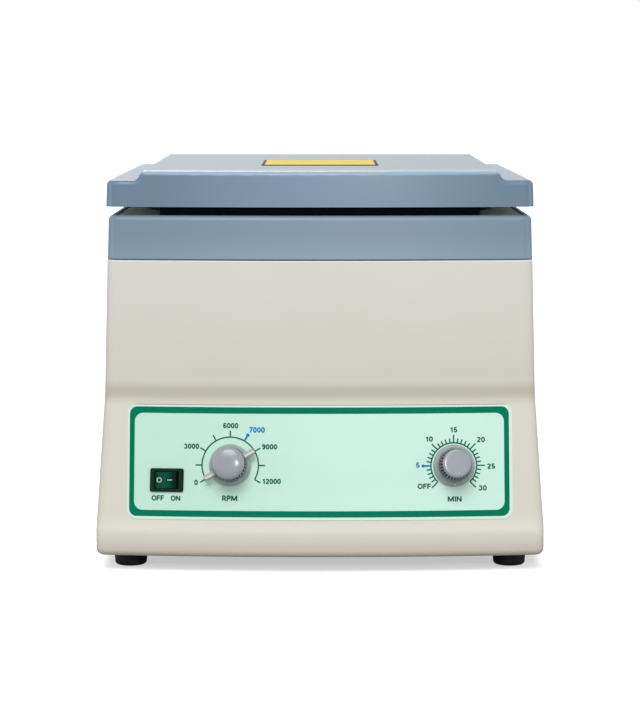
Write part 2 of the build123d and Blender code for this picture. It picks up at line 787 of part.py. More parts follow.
brush = block(
    (brush_in, -brush_width / 2, brush_middle - brush_height / 2),
    (brush_in + brush_length, brush_width / 2, brush_middle + brush_height / 2),
)
holder_in = commutator_radius + 2.0
holder_half = brush_width / 2 + holder_wall
holder = block(
    (holder_in, -holder_half, can_low - 5.0),
    (motor_radius - can_wall - 3.0, holder_half, brush_middle + brush_height / 2 + holder_wall),
)
channel_half = (brush_width / 2 + seat_clearance, brush_height / 2 + seat_clearance)
channel = block(
    (holder_in - 1, -channel_half[0], brush_middle - channel_half[1]),
    (motor_radius - can_wall - 5.0, channel_half[0], brush_middle + channel_half[1]),
)
pieces["carbon_brushes"] = group(bowl_axis * Rot(0, 0, a) * brush for a in (0, 180))
pieces["brush_holders"] = group(bowl_axis * Rot(0, 0, a) * (holder - channel) for a in (0, 180))
fan_top = can_top - fan_gap
fan_low = fan_top - fan_height
fan = disc(fan_radius, fan_top - fan_disc, fan_top) + disc(fan_hub_radius, fan_low, fan_top)
blade = block((fan_hub_radius - 1, -fan_blade_sheet / 2, fan_low), (fan_radius, fan_blade_sheet / 2, fan_top))
for place in around(fan_blades):
    fan = fan + place * blade
pieces["cooling_fan"] = bowl_axis * (fan - disc(bore, fan_low, fan_top))

# Motor pillars on the base plate, rubber buffers and their bolts
bolt_length = ear_sheet + mount_height + thread_depth
pillar = disc(pillar_radius, base_top, mount_low)
pillar = pillar - disc(stud_radius + seat_clearance, ear_low - bolt_length, mount_low)
buffer = ring(mount_radius, stud_radius + seat_clearance, mount_low, ear_low)
buffer = fillet(buffer.edges().filter_by(GeomType.CIRCLE).group_by(SortBy.RADIUS)[-1], 1.0)
bolt = extrude(RegularPolygon(stud_radius * 1.8, 6), stud_radius * 1.3) + disc(stud_radius, -bolt_length, 0)
pieces["motor_pillars"] = group(upright(x, y) * pillar for x, y in mount_spots)
pieces["vibration_mounts"] = group(upright(x, y) * buffer for x, y in mount_spots)
pieces["mount_bolts"] = group(upright(x, y, bracket_top) * bolt for x, y in mount_spots)

# Drive shaft, hub, slotted rotor plate, gasket, cover and the knurled nut
rotor_low = bowl_floor + rotor_lift
plate_top = rotor_low + rotor_plate_sheet
rim_top = rotor_low + rotor_rim_height
cover_top = rim_top + cover_sheet
shaft = disc(shaft_radius, lower_bracket - bearing_boss_height - 1, plate_top)
shaft = shaft + disc(stud_radius, plate_top, plate_top + stud_length)
pieces["motor_shaft"] = bowl_axis * shaft
hub = disc(hub_sleeve_radius, rotor_low - hub_length, rotor_low)
hub = hub + disc(hub_radius, rotor_low - hub_flange, rotor_low)
hub = hub - disc(bore, rotor_low - hub_length, rotor_low)
pieces["rotor_hub"] = bowl_axis * hub
rim_inner = rotor_radius - rotor_rim_width
plate = disc(rotor_radius, rotor_low, rim_top)
plate = plate - disc(rim_inner, plate_top, rim_top) - disc(bore, rotor_low, plate_top)
groove = block(
    (tube_slot_start, -tube_slot_width / 2, plate_top - tube_slot_depth),
    (rim_inner - gasket_width, tube_slot_width / 2, plate_top),
)
for place in around(tube_slots):
    plate = plate - place * groove
pieces["rotor_plate"] = bowl_axis * plate
pieces["rotor_gasket"] = bowl_axis * ring(
    rim_inner - seat_clearance, rim_inner - gasket_width, plate_top, plate_top + gasket_height
)
cover = disc(rotor_radius, rim_top, cover_top) + disc(cover_boss_radius, plate_top, rim_top)
dome = Pos(0, 0, cover_top + cover_dome_height / 2) * Cone(cover_dome_radius, nut_radius, cover_dome_height)
nut_seat = cover_top + cover_dome_height
cover = cover + dome - disc(stud_radius + bowl_clearance / 4, plate_top, nut_seat)
cover = fillet(cover.edges().filter_by(GeomType.CIRCLE).group_by(SortBy.RADIUS)[-1].sort_by(Axis.Z)[-1], 0.8)
pieces["rotor_cover"] = bowl_axis * cover
nut_low = nut_seat + nut_gap
nut = disc(nut_radius, nut_low, nut_low + nut_height)
nut = chamfer(nut.edges().group_by(Axis.Z)[-1], 1.5)
for place in around(nut_grips, nut_radius + nut_grip_radius * 0.4):
    nut = nut - place * disc(nut_grip_radius, nut_low + 2, nut_low + nut_height)
nut = nut - disc(stud_radius + running_clearance, nut_low, plate_top + stud_length + 0.5)
pieces["rotor_nut"] = bowl_axis * nut


# Lid: a shell with a raised platform, closed below by a liner
def roof_face(y, top, inset):
    """Cross-section of everything below the lid's roof, at one depth."""
    low = lid_low - wide / 10
    shoulder = lid_shoulder - inset
    half_foot = platform_foot_width / 2 - inset
    half_top = platform_top_width / 2 - inset
    upper = FilletPolyline(
        (-wide / 2, shoulder), (-half_foot, shoulder), (-half_top, top - inset),
        (half_top, top - inset), (half_foot, shoulder), (wide / 2, shoulder),
        radius=[platform_foot_round, platform_round, platform_round, platform_foot_round],
    )
    lower = Polyline((wide / 2, shoulder), (wide / 2, low), (-wide / 2, low), (-wide / 2, shoulder))
    face = make_face(upper.edges() + lower.edges())
    return Plane(origin=(0, y, 0), x_dir=(1, 0, 0), z_dir=(0, -1, 0)) * face


def lid_form(inset, low, roof_lift=0.0):
    """Lid filled solid, from the level low up to its roof."""
    slope = (platform_rear_rise - platform_front_rise) / platform_rear
    ahead = wide / 8
    front_top = lid_shoulder + platform_front_rise - slope * ahead + roof_lift
    rear_top = lid_shoulder + platform_rear_rise + roof_lift
    roof = loft(
        [roof_face(-ahead, front_top, inset), roof_face(platform_rear - inset, rear_top, inset)], ruled=True
    )
    rear = block(
        (-wide / 2, platform_rear - inset, lid_low - wide / 10), (wide / 2, wide, lid_shoulder - inset)
    )
    rise = wide / 8
    draw_in = lid_draft * rise / lid_rim_height
    start = lid_draft * (low - lid_low) / lid_rim_height
    plans = [
        plan_face(lid_width / 2, top_front, top_rear, rim_corner, low, inset + start),
        plan_face(lid_width / 2, top_front, top_rear, rim_corner, low + rise, inset + start + draw_in),
    ]
    return loft(plans, ruled=True) & (roof + rear)


lid_outer = lid_form(0.0, lid_low)
lid_edges = [
    edge for edge in lid_outer.edges()
    if edge.center().Z > lid_shoulder - 0.01
    and (abs(edge.center().X) > lid_width / 2 - rim_corner - 1 or edge.center().Y < rim_corner + 2)
]
lid_shell = fillet(lid_edges, lid_round) - lid_form(lid_wall, lid_low - 1)
for x, y in lid_boss_spots:
    lid_shell = lid_shell + upright(x, y) * disc(lid_boss_radius, liner_top, lid_shoulder - lid_wall + 1)
lid_pilot = disc(pilot_radius, liner_top, liner_top + lid_screw_length)
for x, y in lid_boss_spots:
    lid_shell = lid_shell - upright(x, y) * lid_pilot
for pilot in hinge_pilots:
    lid_shell = lid_shell - Pos(0, 0, hinge_lid_screw_z) * pilot
pieces["lid_shell"] = lid_shell
liner = plan_slab(
    lid_width / 2, top_front, top_rear, rim_corner, liner_low, liner_top, lid_wall + liner_clearance
)
for x, y in lid_boss_spots:
    liner = liner - upright(x, y) * disc(screw_hole, liner_low, liner_top)
pieces["lid_liner"] = liner
pieces["lid_screws"] = group(
    upright(x, y, liner_low) * Rot(180, 0, 0) * screw(liner_sheet + lid_screw_length - 1, head_height=1.6)
    for x, y in lid_boss_spots
)
seal_low = deck_top + seal_clearance
seal = ring(seal_outer, seal_inner, seal_low, liner_low)
seal = fillet(seal.edges().group_by(Axis.Z)[0], 1.5)
pieces["lid_seal"] = bowl_axis * seal
cut = block((-plate_size / 2, plate_front, lid_shoulder), (plate_size / 2, plate_front + plate_size, wide))
pieces["lid_plate"] = (lid_form(0.0, lid_low, plate_sheet) & cut) - lid_outer


# Hinges: leaves on the collar and on the lid, each pair with its own pin
def tube_x(outer, inner, start, end):
    """Tube along X on the hinge axis."""
    tube = Pos((start + end) / 2, hinge_y, hinge_z) * Rot(0, 90, 0) * Cylinder(outer, end - start)
    if inner:
        tube = tube - Pos((start + end) / 2, hinge_y, hinge_z) * Rot(0, 90, 0) * Cylinder(inner, end - start)
    return tube


def leaf(sign, height, spans):
    """Hinge leaf: sign is 1 for the lid's leaf and -1 for the body's."""
    near = hinge_z + sign * (hinge_knuckle + hinge_relief)
    far = near + sign * height
    flat_rear = top_rear + hinge_sheet
    result = block(
        (-hinge_length / 2, top_rear, min(near, far)), (hinge_length / 2, flat_rear, max(near, far))
    )
    for start, end in spans:
        curl = block((start, top_rear, min(near, hinge_z)), (end, flat_rear, max(near, hinge_z)))
        result = result + curl + tube_x(hinge_knuckle, 0, start, end)
    bore_radius = hinge_pin_radius + (running_clearance if sign > 0 else seat_clearance)
    result = result - tube_x(bore_radius, 0, -hinge_length, hinge_length)
    screw_z = (near + far) / 2
    for near_side in (-1, 1):
        hole = Pos(near_side * hinge_screw_x, top_rear, screw_z) * Rot(-90, 0, 0)
        result = result - hole * disc(hinge_screw_radius + seat_clearance, -1, hinge_sheet + 1)
    return result


inner_half = hinge_middle / 2
outer_spans = [(-hinge_length / 2, -inner_half), (inner_half, hinge_length / 2)]
middle_span = [(-inner_half + hinge_joint_gap, inner_half - hinge_joint_gap)]
body_leaf = leaf(-1, hinge_leaf_body, outer_spans)
lid_leaf = leaf(1, hinge_leaf_lid, middle_span)
pin = tube_x(hinge_pin_radius, 0, -hinge_length / 2 - 1, hinge_length / 2 + 1)
hinge_screw = Rot(-90, 0, 0) * screw(
    hinge_screw_length + hinge_sheet - 1, hinge_screw_radius, hinge_head_radius, hinge_head_height
)
hinge_sides = [Pos(side * hinge_x, 0, 0) for side in (-1, 1)]
pieces["hinge_body_leaves"] = group(side * body_leaf for side in hinge_sides)
pieces["hinge_lid_leaves"] = group(side * lid_leaf for side in hinge_sides)
pieces["hinge_pins"] = group(side * pin for side in hinge_sides)
hinge_screw_places = [
    side * Pos(near * hinge_screw_x, top_rear + hinge_sheet, 0) for side in hinge_sides for near in (-1, 1)
]
pieces["lid_hinge_screws"] = group(
    Pos(0, 0, hinge_lid_screw_z) * place * hinge_screw for place in hinge_screw_places
)

# Control label on the sloping console
label_prism = Plane(origin=(0, -wide / 4, 0), x_dir=(1, 0, 0), z_dir=(0, 1, 0)) * Pos(
    0, -(label_low + label_high) / 2, 0
) * RectangleRounded(label_width, label_high - label_low, label_corner)
label = body_form(-label_sheet, base_z, shoulder_z, body_corner) & extrude(label_prism, wide / 2)
label = label & block((-wide, -wide, 0), (wide, bowl_y / 3, wide))
label = label - body_form(0.0, base_z, shoulder_z, body_corner) - control_holes(wall * 3)
pieces["control_label"] = label


# Knobs, shafts, bushings and nuts of the two rotary controls
def knob(cap_radius, grip_radius):
    """Skirted knob with a fluted grip and a domed cap, hollow over the panel nut."""
    skirt_top_z = knob_gap + knob_skirt
    grip_top = skirt_top_z + grip_height
    skirt = disc(skirt_radius, knob_gap, knob_gap + knob_skirt - knob_skirt_rise)
    bevel = Cone(skirt_radius, grip_radius + 1, knob_skirt_rise)
    bevel = Pos(0, 0, skirt_top_z - knob_skirt_rise / 2) * bevel
    grip = Cone(grip_radius, cap_radius - cap_overhang, grip_height)
    grip = Pos(0, 0, (skirt_top_z + grip_top) / 2) * grip
    for place in around(grip_flutes, grip_radius):
        grip = grip - place * disc(flute_radius, skirt_top_z, grip_top - 1)
    cap = disc(cap_radius, grip_top - 1, grip_top - 1 + cap_height)
    cap = fillet(cap.edges().group_by(Axis.Z)[-1], cap_round)
    body = skirt + bevel + grip + cap
    body = body - disc(skirt_radius - knob_shell * 2, knob_gap, knob_gap + knob_skirt - knob_shell)
    return body - disc(control_shaft_radius + seat_clearance, knob_gap, grip_top - 2)


def control_shaft():
    top = knob_gap + knob_skirt + grip_height - 2.5
    return disc(control_shaft_radius, -panel_depth - shaft_insertion, top)


def bushing():
    """Threaded bushing that stands through the panel."""
    return disc(bushing_radius, -panel_depth - control_stand_off, bushing_reach)


tunnel_low = -panel_depth - shaft_insertion - 0.5
shaft_tunnel = disc(control_shaft_radius + running_clearance, tunnel_low, bushing_reach)
pointer_z = knob_gap + knob_skirt
pointer_top = pointer_z + pointer_height
pointer = block(
    (-pointer_length / 2, -pointer_width / 2, pointer_z), (pointer_length / 2, pointer_width / 2, pointer_top)
)
pointer = fillet(pointer.edges().filter_by(Axis.Z), pointer_end_round)
pointer = pointer + disc(pointer_hub_radius, pointer_z, pointer_top)
pointer_slot = block(
    (-pointer_length, -pointer_width / 2 - seat_clearance, pointer_z),
    (pointer_length, pointer_width / 2 + seat_clearance, pointer_top + seat_clearance),
)
hub_seat = disc(pointer_hub_radius + seat_clearance, pointer_z, pointer_top + seat_clearance)
pointer_slot = pointer_slot + hub_seat
pointer_turn = Rot(0, 0, speed_zero)
speed_knob = knob(speed_cap_radius, speed_grip_radius) - pointer_turn * pointer_slot
pieces["speed_knob"] = speed_spot * speed_knob
pointer = pointer - disc(control_shaft_radius + seat_clearance, 0, pointer_top)
pieces["speed_pointer"] = speed_spot * pointer_turn * pointer
pieces["speed_shaft"] = speed_spot * control_shaft()
case_top = -panel_depth - control_stand_off
potentiometer = disc(potentiometer_radius, case_top - potentiometer_depth, case_top)
potentiometer = potentiometer + bushing() - shaft_tunnel
pieces["speed_potentiometer"] = speed_spot * potentiometer
pieces["timer_knob"] = timer_spot * knob(timer_cap_radius, timer_grip_radius)
pieces["timer_shaft"] = timer_spot * control_shaft()
half_case = timer_case / 2
case = block((-half_case, -half_case, case_top - timer_depth), (half_case, half_case, case_top))
case = fillet(case.edges().filter_by(Axis.Z), 4.0) + bushing() - shaft_tunnel
pieces["timer_body"] = timer_spot * case
panel_nut = RegularPolygon(panel_nut_radius, 6) - Circle(bushing_radius + seat_clearance)
panel_nut = extrude(panel_nut, panel_nut_height)
pieces["panel_nuts"] = group([speed_spot * panel_nut, timer_spot * panel_nut])

# Mains rocker switch: bezel and body in one moulding, with the rocker tilted to its off side
rocker_radius = rocker_width / 2
bezel = extrude(RectangleRounded(bezel_width, bezel_height, 1.2), bezel_rise)
bezel = chamfer(bezel.edges().group_by(Axis.Z)[-1], 0.6)
switch_body = bezel + block(
    (-switch_body_width / 2, -switch_body_height / 2, -switch_body_depth),
    (switch_body_width / 2, switch_body_height / 2, 0),
)
well_half = (rocker_radius + rocker_gap, rocker_height / 2 + rocker_gap)
well_depth = rocker_pivot_depth + rocker_depth + rocker_gap * 4
well = block(
    (-well_half[0], -well_half[1], -well_depth), (well_half[0], well_half[1], bezel_rise + 1)
)
switch_body = switch_body - well
pieces["power_switch"] = switch_spot * switch_body
rocker_side = [
    (-rocker_radius, rocker_rise), (0, rocker_rise - rocker_dip), (rocker_radius, rocker_rise),
    (rocker_radius, -1.0), (0, -rocker_depth), (-rocker_radius, -1.0),
]
rocker_face = make_face(Polyline(*rocker_side, close=True).edges())
rocker = Plane.XZ * rocker_face
rocker = Pos(0, rocker_height / 2, 0) * extrude(rocker, rocker_height)
barrel = Rot(90, 0, 0) * Cylinder(rocker_radius, rocker_height)
rocker = rocker & barrel
rocker_place = switch_spot * Pos(0, 0, -rocker_pivot_depth) * Rot(0, -rocker_tilt, 0)
pieces["switch_rocker"] = rocker_place * rocker

# Mains inlet with three pins, and the fuse holder with its turning cap
inlet = extrude(RectangleRounded(inlet_flange_width, inlet_flange_height, inlet_corner), inlet_flange_sheet)
inlet = inlet + block(
    (-inlet_width / 2 + base_clearance, -inlet_height / 2 + base_clearance, -inlet_depth),
    (inlet_width / 2 - base_clearance, inlet_height / 2 - base_clearance, 0),
)
socket_floor = inlet_flange_sheet - socket_depth
socket = Pos(0, 0, socket_floor) * RectangleRounded(socket_width, socket_height, 2.5)
inlet = inlet - extrude(socket, socket_depth)
pin_places = [(-pin_spread, -pin_rise), (0, pin_rise), (pin_spread, -pin_rise)]
for x, y in pin_places:
    inlet = inlet - Pos(x, y, 0) * block(
        (-pin_sheet / 2 - seat_clearance, -pin_width / 2 - seat_clearance, -inlet_depth),
        (pin_sheet / 2 + seat_clearance, pin_width / 2 + seat_clearance, socket_floor),
    )
flange_hole = disc(hinge_screw_radius + seat_clearance, -1, inlet_flange_sheet + 1)
for side in (-1, 1):
    inlet = inlet - Pos(side * inlet_screw_spread, 0, 0) * flange_hole
pieces["power_inlet"] = inlet_spot * inlet
inlet_pin = block(
    (-pin_sheet / 2, -pin_width / 2, -inlet_depth - 4),
    (pin_sheet / 2, pin_width / 2, socket_floor + pin_length),
)
pieces["inlet_pins"] = group(inlet_spot * Pos(x, y, 0) * inlet_pin for x, y in pin_places)
rear_screws = [Pos(0, 0, hinge_body_screw_z) * place * hinge_screw for place in hinge_screw_places]
for side in (-1, 1):
    rear_screws.append(
        inlet_spot * Pos(side * inlet_screw_spread, 0, inlet_flange_sheet) * Rot(90, 0, 0) * hinge_screw
    )
pieces["rear_screws"] = group(rear_screws)
holder_body = disc(fuse_radius - base_clearance / 2, -fuse_depth, 0)
holder_body = holder_body + disc(fuse_flange_radius, 0, fuse_flange)
holder_body = holder_body - disc(fuse_cap_radius, fuse_flange - fuse_cap_insert - 1, fuse_flange)
pieces["fuse_holder"] = fuse_spot * holder_body
cap_low = fuse_flange + fuse_cap_gap
fuse_cap = disc(fuse_cap_radius - running_clearance, fuse_flange - fuse_cap_insert, cap_low)
cap_end = cap_low + fuse_cap_reach
fuse_cap = fuse_cap + disc(fuse_cap_radius + fuse_cap_lip, cap_low, cap_end)
fuse_cap = chamfer(fuse_cap.edges().group_by(Axis.Z)[-1], fuse_cap_chamfer)
fuse_cap = fuse_cap - block(
    (-fuse_cap_radius, -fuse_cap_slot / 2, cap_end - fuse_slot_depth),
    (fuse_cap_radius, fuse_cap_slot / 2, cap_end),
)
pieces["fuse_cap"] = fuse_spot * fuse_cap

# Speed control board with its larger parts
board_low = base_top + spacer_height
board_top = board_low + board_sheet
board = Pos(board_x, board_y, (board_low + board_top) / 2) * Box(board_width, board_length, board_sheet)
pieces["control_board"] = board
board_parts = []
for (x, y), size in (
    (choke_place, choke_size),
    (heat_sink_place, heat_sink_size),
    (terminal_place, terminal_size),
    (relay_place, relay_size),
):
    board_parts.append(Pos(x, y, size[2] / 2) * Box(*size))
for (x, y), radius, height in zip(capacitor_places, capacitor_radii, capacitor_heights):
    board_parts.append(Pos(x, y, 0) * disc(radius, 0, height))
pieces["board_parts"] = group(Pos(board_x, board_y, board_top) * item for item in board_parts)

# Move the machine so that the origin lies on the table under its middle
whole = [piece.bounding_box() for piece in pieces.values()]
front_end = min(box.min.Y for box in whole)
rear_end = max(box.max.Y for box in whole)
middle_y = (front_end + rear_end) / 2
set_back = Pos(0, -middle_y, 0)
os.makedirs("parts", exist_ok=True)
for name, piece in pieces.items():
    export_step(set_back * piece, f"parts/{name}.step")
print("pieces", len(pieces), "front", round(front_end, 3), "rear", round(rear_end, 3))
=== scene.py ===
import json
from math import asin, atan, cos, pi, radians, sin

import bmesh
import bpy
from mathutils import Matrix, Vector

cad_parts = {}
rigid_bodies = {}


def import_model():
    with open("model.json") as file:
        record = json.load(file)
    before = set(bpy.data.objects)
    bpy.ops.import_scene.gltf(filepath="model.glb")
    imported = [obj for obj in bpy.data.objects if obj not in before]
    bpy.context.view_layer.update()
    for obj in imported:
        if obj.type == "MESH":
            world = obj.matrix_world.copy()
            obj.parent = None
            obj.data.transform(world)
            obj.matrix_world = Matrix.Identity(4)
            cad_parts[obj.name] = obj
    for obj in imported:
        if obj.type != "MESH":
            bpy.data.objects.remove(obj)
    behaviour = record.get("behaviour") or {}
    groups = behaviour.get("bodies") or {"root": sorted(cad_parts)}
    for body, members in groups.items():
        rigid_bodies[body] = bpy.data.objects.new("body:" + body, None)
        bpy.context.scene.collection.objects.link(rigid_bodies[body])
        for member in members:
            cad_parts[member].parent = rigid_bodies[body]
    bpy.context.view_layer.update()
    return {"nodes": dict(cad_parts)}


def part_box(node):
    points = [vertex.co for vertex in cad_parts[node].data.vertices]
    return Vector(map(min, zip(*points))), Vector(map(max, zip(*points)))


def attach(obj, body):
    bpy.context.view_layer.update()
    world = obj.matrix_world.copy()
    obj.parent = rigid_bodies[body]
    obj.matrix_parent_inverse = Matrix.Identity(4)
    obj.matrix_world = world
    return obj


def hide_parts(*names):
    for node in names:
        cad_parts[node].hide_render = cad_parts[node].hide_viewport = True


# Bench centrifuge for capillary blood tubes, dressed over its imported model.
# Lengths are in metres: X to the viewer's right, Y to the back, Z up from the table.
for leftover in list(bpy.data.objects):
    bpy.data.objects.remove(leftover)
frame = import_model()
nodes = frame["nodes"]
mm = 0.001

# Base plate: one sheet of zinc-plated steel with rows of cooling slots and spacers for the
# board, screwed up into the housing. The plating has soft cloudy patches and fine rolling marks.


def paint(red, green, blue):
    """Screen colour from 0 to 255 as the shader's linear colour."""
    levels = [channel / 255 for channel in (red, green, blue)]
    linear = [c / 12.92 if c <= 0.04045 else ((c + 0.055) / 1.055) ** 2.4 for c in levels]
    return (*linear, 1.0)


class Wire:
    """Output of a node. Sums, products, powers and comparisons of it add Math nodes."""

    def __init__(self, owner, socket):
        self.owner = owner
        self.socket = socket

    def maths(self, operation, *values):
        return self.owner.node("ShaderNodeMath", {"operation": operation}, dict(enumerate(values)))

    def __add__(self, other):
        return self.maths("ADD", self, other)

    def __sub__(self, other):
        return self.maths("SUBTRACT", self, other)

    def __rsub__(self, other):
        return self.maths("SUBTRACT", other, self)

    def __mul__(self, other):
        return self.maths("MULTIPLY", self, other)

    def __pow__(self, other):
        return self.maths("POWER", self, other)

    def __gt__(self, other):
        return self.maths("GREATER_THAN", self, other)

    def __lt__(self, other):
        return self.maths("LESS_THAN", self, other)

    def __abs__(self):
        return self.maths("ABSOLUTE", self)

    def sine(self):
        return self.maths("SINE", self)

    def larger(self, other):
        return self.maths("MAXIMUM", self, other)

    def rise(self, low, high):
        """Eased from 0 at low to 1 at high."""
        return self.owner.node(
            "ShaderNodeMapRange", {"interpolation_type": "SMOOTHSTEP"}, {0: self, 1: low, 2: high}
        )

    __radd__ = __add__
    __rmul__ = __mul__


class Nodes:
    """Nodes of a finish or of the room's light. node() adds one and returns its output."""

    def __init__(self, tree):
        self.tree = tree

    def plug(self, socket, value):
        if isinstance(value, Wire):
            self.tree.links.new(value.socket, socket)
        else:
            socket.default_value = value

    def node(self, kind, settings=None, inputs=None, out=0):
        item = self.tree.nodes.new(kind)
        for name, value in (settings or {}).items():
            setattr(item, name, value)
        for name, value in (inputs or {}).items():
            self.plug(item.inputs[name], value)
        return Wire(self, item.outputs[out])


class Finish(Nodes):
    """One material. Sockets of its shader are set by name."""

    def __init__(self, name, sockets):
        self.material = bpy.data.materials.new(name)
        self.material.use_nodes = True
        super().__init__(self.material.node_tree)
        self.shader = self.tree.nodes["Principled BSDF"]
        self.set(sockets)

    def set(self, sockets):
        for name, value in sockets.items():
            self.plug(self.shader.inputs[name], value)

    def spot(self, stretch=(1.0, 1.0, 1.0)):
        """Place on the piece, stretched along each axis."""
        place = self.node("ShaderNodeTexCoord", out="Object")
        return self.node("ShaderNodeVectorMath", {"operation": "MULTIPLY"}, {0: place, 1: stretch})

    def along(self, axis):
        """Coordinate of the place on the piece along X, Y or Z."""
        place = self.node("ShaderNodeTexCoord", out="Object")
        return self.node("ShaderNodeSeparateXYZ", inputs={0: place}, out=axis)

    def grain(self, size, detail=2.0, stretch=(1.0, 1.0, 1.0)):
        """Cloudy value from 0 to 1 with patches of the given size."""
        return self.node("ShaderNodeTexNoise", inputs={
            "Vector": self.spot(stretch), "Scale": 1 / size, "Detail": detail,
        })

    def mix(self, factor, first, second):
        """First colour where the factor is 0 and second where it is 1, through the RGBA sockets."""
        return self.node("ShaderNodeMix", {"data_type": "RGBA"}, {0: factor, 6: first, 7: second}, 2)

    def bump(self, height, depth, strength):
        return self.node("ShaderNodeBump", inputs={
            "Height": height, "Distance": depth, "Strength": strength,
        })


def dress(finish, *names):
    """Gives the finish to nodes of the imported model."""
    for name in names:
        for index in range(len(nodes[name].data.materials)):
            nodes[name].data.materials[index] = finish.material


def soften(radius, *names):
    """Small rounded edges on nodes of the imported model."""
    for name in names:
        bevel = nodes[name].modifiers.new("edges", "BEVEL")
        bevel.width = radius
        bevel.segments = 2
        bevel.limit_method = "ANGLE"
        bevel.angle_limit = radians(50)
        bevel.harden_normals = True


def zinc_plated(name, bright, dull):
    """Zinc plating on steel: cloudy patches, fine marks and a soft uneven gloss."""
    finish = Finish(name, {"Metallic": 1.0})
    patch = finish.grain(14 * mm, detail=3.0)
    marks = finish.grain(0.5 * mm, stretch=(0.06, 1.0, 1.0))
    finish.set({
        "Base Color": finish.mix(patch, bright, dull),
        "Roughness": 0.26 + 0.14 * patch + 0.1 * marks,
        "Normal": finish.bump(marks, 0.01 * mm, strength=0.4),
    })
    return finish


zinc = zinc_plated("zinc plated steel", paint(204, 206, 203), paint(168, 171, 172))
dress(zinc, "base_plate")
soften(0.25 * mm, "base_plate")

# Screws of the base plate, the collar and the feet: plated steel with crossed slots,
# a shade yellower than the sheet and scuffed by the driver.
screw_zinc = zinc_plated("zinc plated screws", paint(206, 203, 188), paint(160, 158, 148))
dress(screw_zinc, "base_screws", "foot_screws", "collar_screws")

# Feet: four moulded rubber cups, screwed to the base plate through their webs.
# The rubber is nearly black, matt, and picks up a little grey dust.
rubber = Finish("black rubber", {"Specular IOR Level": 0.35})
rubber_dust = rubber.grain(5 * mm, detail=3.0)
rubber_pores = rubber.grain(0.3 * mm)
rubber.set({
    "Base Color": rubber.mix(rubber_dust ** 3, paint(20, 20, 19), paint(44, 43, 41)),
    "Roughness": 0.58 + 0.2 * rubber_dust,
    "Normal": rubber.bump(rubber_pores, 0.05 * mm, strength=0.35),
})
dress(rubber, "feet_front", "feet_rear")

# Motor carriers: four turned steel pillars on the base plate, a rubber buffer on each, and
# bolts through the buffers into the pillars, so that the motor hangs soft.
dress(zinc, "motor_pillars", "mount_bolts")
dress(rubber, "vibration_mounts")

# Motor can and its brackets: a rolled steel tube in dark enamel between two aluminium
# castings. The castings are blasted and keep a coarse grain.
enamel = Finish("dark motor enamel", {"Coat Roughness": 0.2, "Coat Weight": 0.3})
enamel_peel = enamel.grain(1.4 * mm, detail=1.0)
enamel_haze = enamel.grain(22 * mm)
enamel.set({
    "Base Color": enamel.mix(enamel_haze, paint(46, 49, 52), paint(66, 69, 71)),
    "Roughness": 0.32 + 0.14 * enamel_haze,
    "Normal": enamel.bump(enamel_peel, 0.03 * mm, strength=0.5),
})
dress(enamel, "motor_can")
casting = Finish("blasted aluminium casting", {"Metallic": 1.0})
casting_grain = casting.grain(0.8 * mm, detail=4.0)
casting_stain = casting.grain(16 * mm, detail=3.0)
casting.set({
    "Base Color": casting.mix(casting_stain, paint(188, 189, 190), paint(150, 152, 154)),
    "Roughness": 0.5 + 0.18 * casting_grain,
    "Normal": casting.bump(casting_grain, 0.12 * mm, strength=0.7),
})
dress(casting, "motor_top_bracket", "motor_bottom_bracket")
soften(0.4 * mm, "motor_top_bracket", "motor_bottom_bracket")

# Bearings and drive shaft: ground bearing steel. The bearings are pressed into the brackets,
# and the grinding runs round the upright axis that the rotor, the motor and the bowl share.
drive_x = 0.0
drive_y = (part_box("motor_can")[0].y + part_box("motor_can")[1].y) / 2


def from_drive(finish):
    """Distance of the place on the piece from the drive axis."""
    across = finish.along("X") - drive_x
    away = finish.along("Y") - drive_y
    return (across * across + away * away) ** 0.5


def tool_marks(finish, place, pitch):
    """Uneven value that changes along one coordinate, like the marks of a tool."""
    return finish.node("ShaderNodeTexNoise", {"noise_dimensions": "1D"}, {
        "W": place * (1 / pitch), "Scale": 1.0, "Detail": 3.0,
    })


def turned(name, bright, dull, pitch, rough, depth):
    """Metal turned on the drive axis: rings of uneven gloss and very fine grooves."""
    finish = Finish(name, {"Metallic": 1.0})
    rings = tool_marks(finish, from_drive(finish), pitch)
    levels = tool_marks(finish, finish.along("Z"), pitch)
    haze = finish.grain(30 * mm)
    grooves = rings * 0.6 + levels * 0.4
    finish.set({
        "Base Color": finish.mix(haze * 0.5 + grooves * 0.5, bright, dull),
        "Roughness": rough + 0.16 * grooves,
        "Normal": finish.bump(grooves, depth, strength=0.5),
    })
    return finish


ground_steel = turned(
    "ground steel", paint(214, 215, 216), paint(184, 186, 188),
    pitch=0.15 * mm, rough=0.12, depth=0.005 * mm,
)
dress(ground_steel, "motor_bearings", "motor_shaft")

# Field and armature of the motor: stacks of varnished laminations, whose edges show each
# sheet. The field is held in the can, with a coil of enamelled copper wire in each gap, and
# the armature is pressed on the shaft.
lamination_pitch = 0.5 * mm
wire_pitch = 0.7 * mm
laminations = Finish("varnished laminations", {"Metallic": 0.85})
sheet_edges = (laminations.along("Z") * (2 * pi / lamination_pitch)).sine() * 0.5 + 0.5
varnish = laminations.grain(6 * mm, detail=3.0)
laminations.set({
    "Base Color": laminations.mix(varnish, paint(92, 95, 99), paint(64, 62, 60)),
    "Roughness": 0.38 + 0.2 * varnish,
    "Normal": laminations.bump(sheet_edges, 0.06 * mm, strength=0.6),
})
dress(laminations, "field_stack", "armature")
copper_wire = Finish("enamelled copper wire", {
    "Metallic": 0.9, "Coat Weight": 0.6, "Coat Roughness": 0.15,
})
turns = (from_drive(copper_wire) * (2 * pi / wire_pitch)).sine()
layers = (copper_wire.along("X") * (2 * pi / wire_pitch)).sine()
strands = turns * layers * 0.5 + 0.5
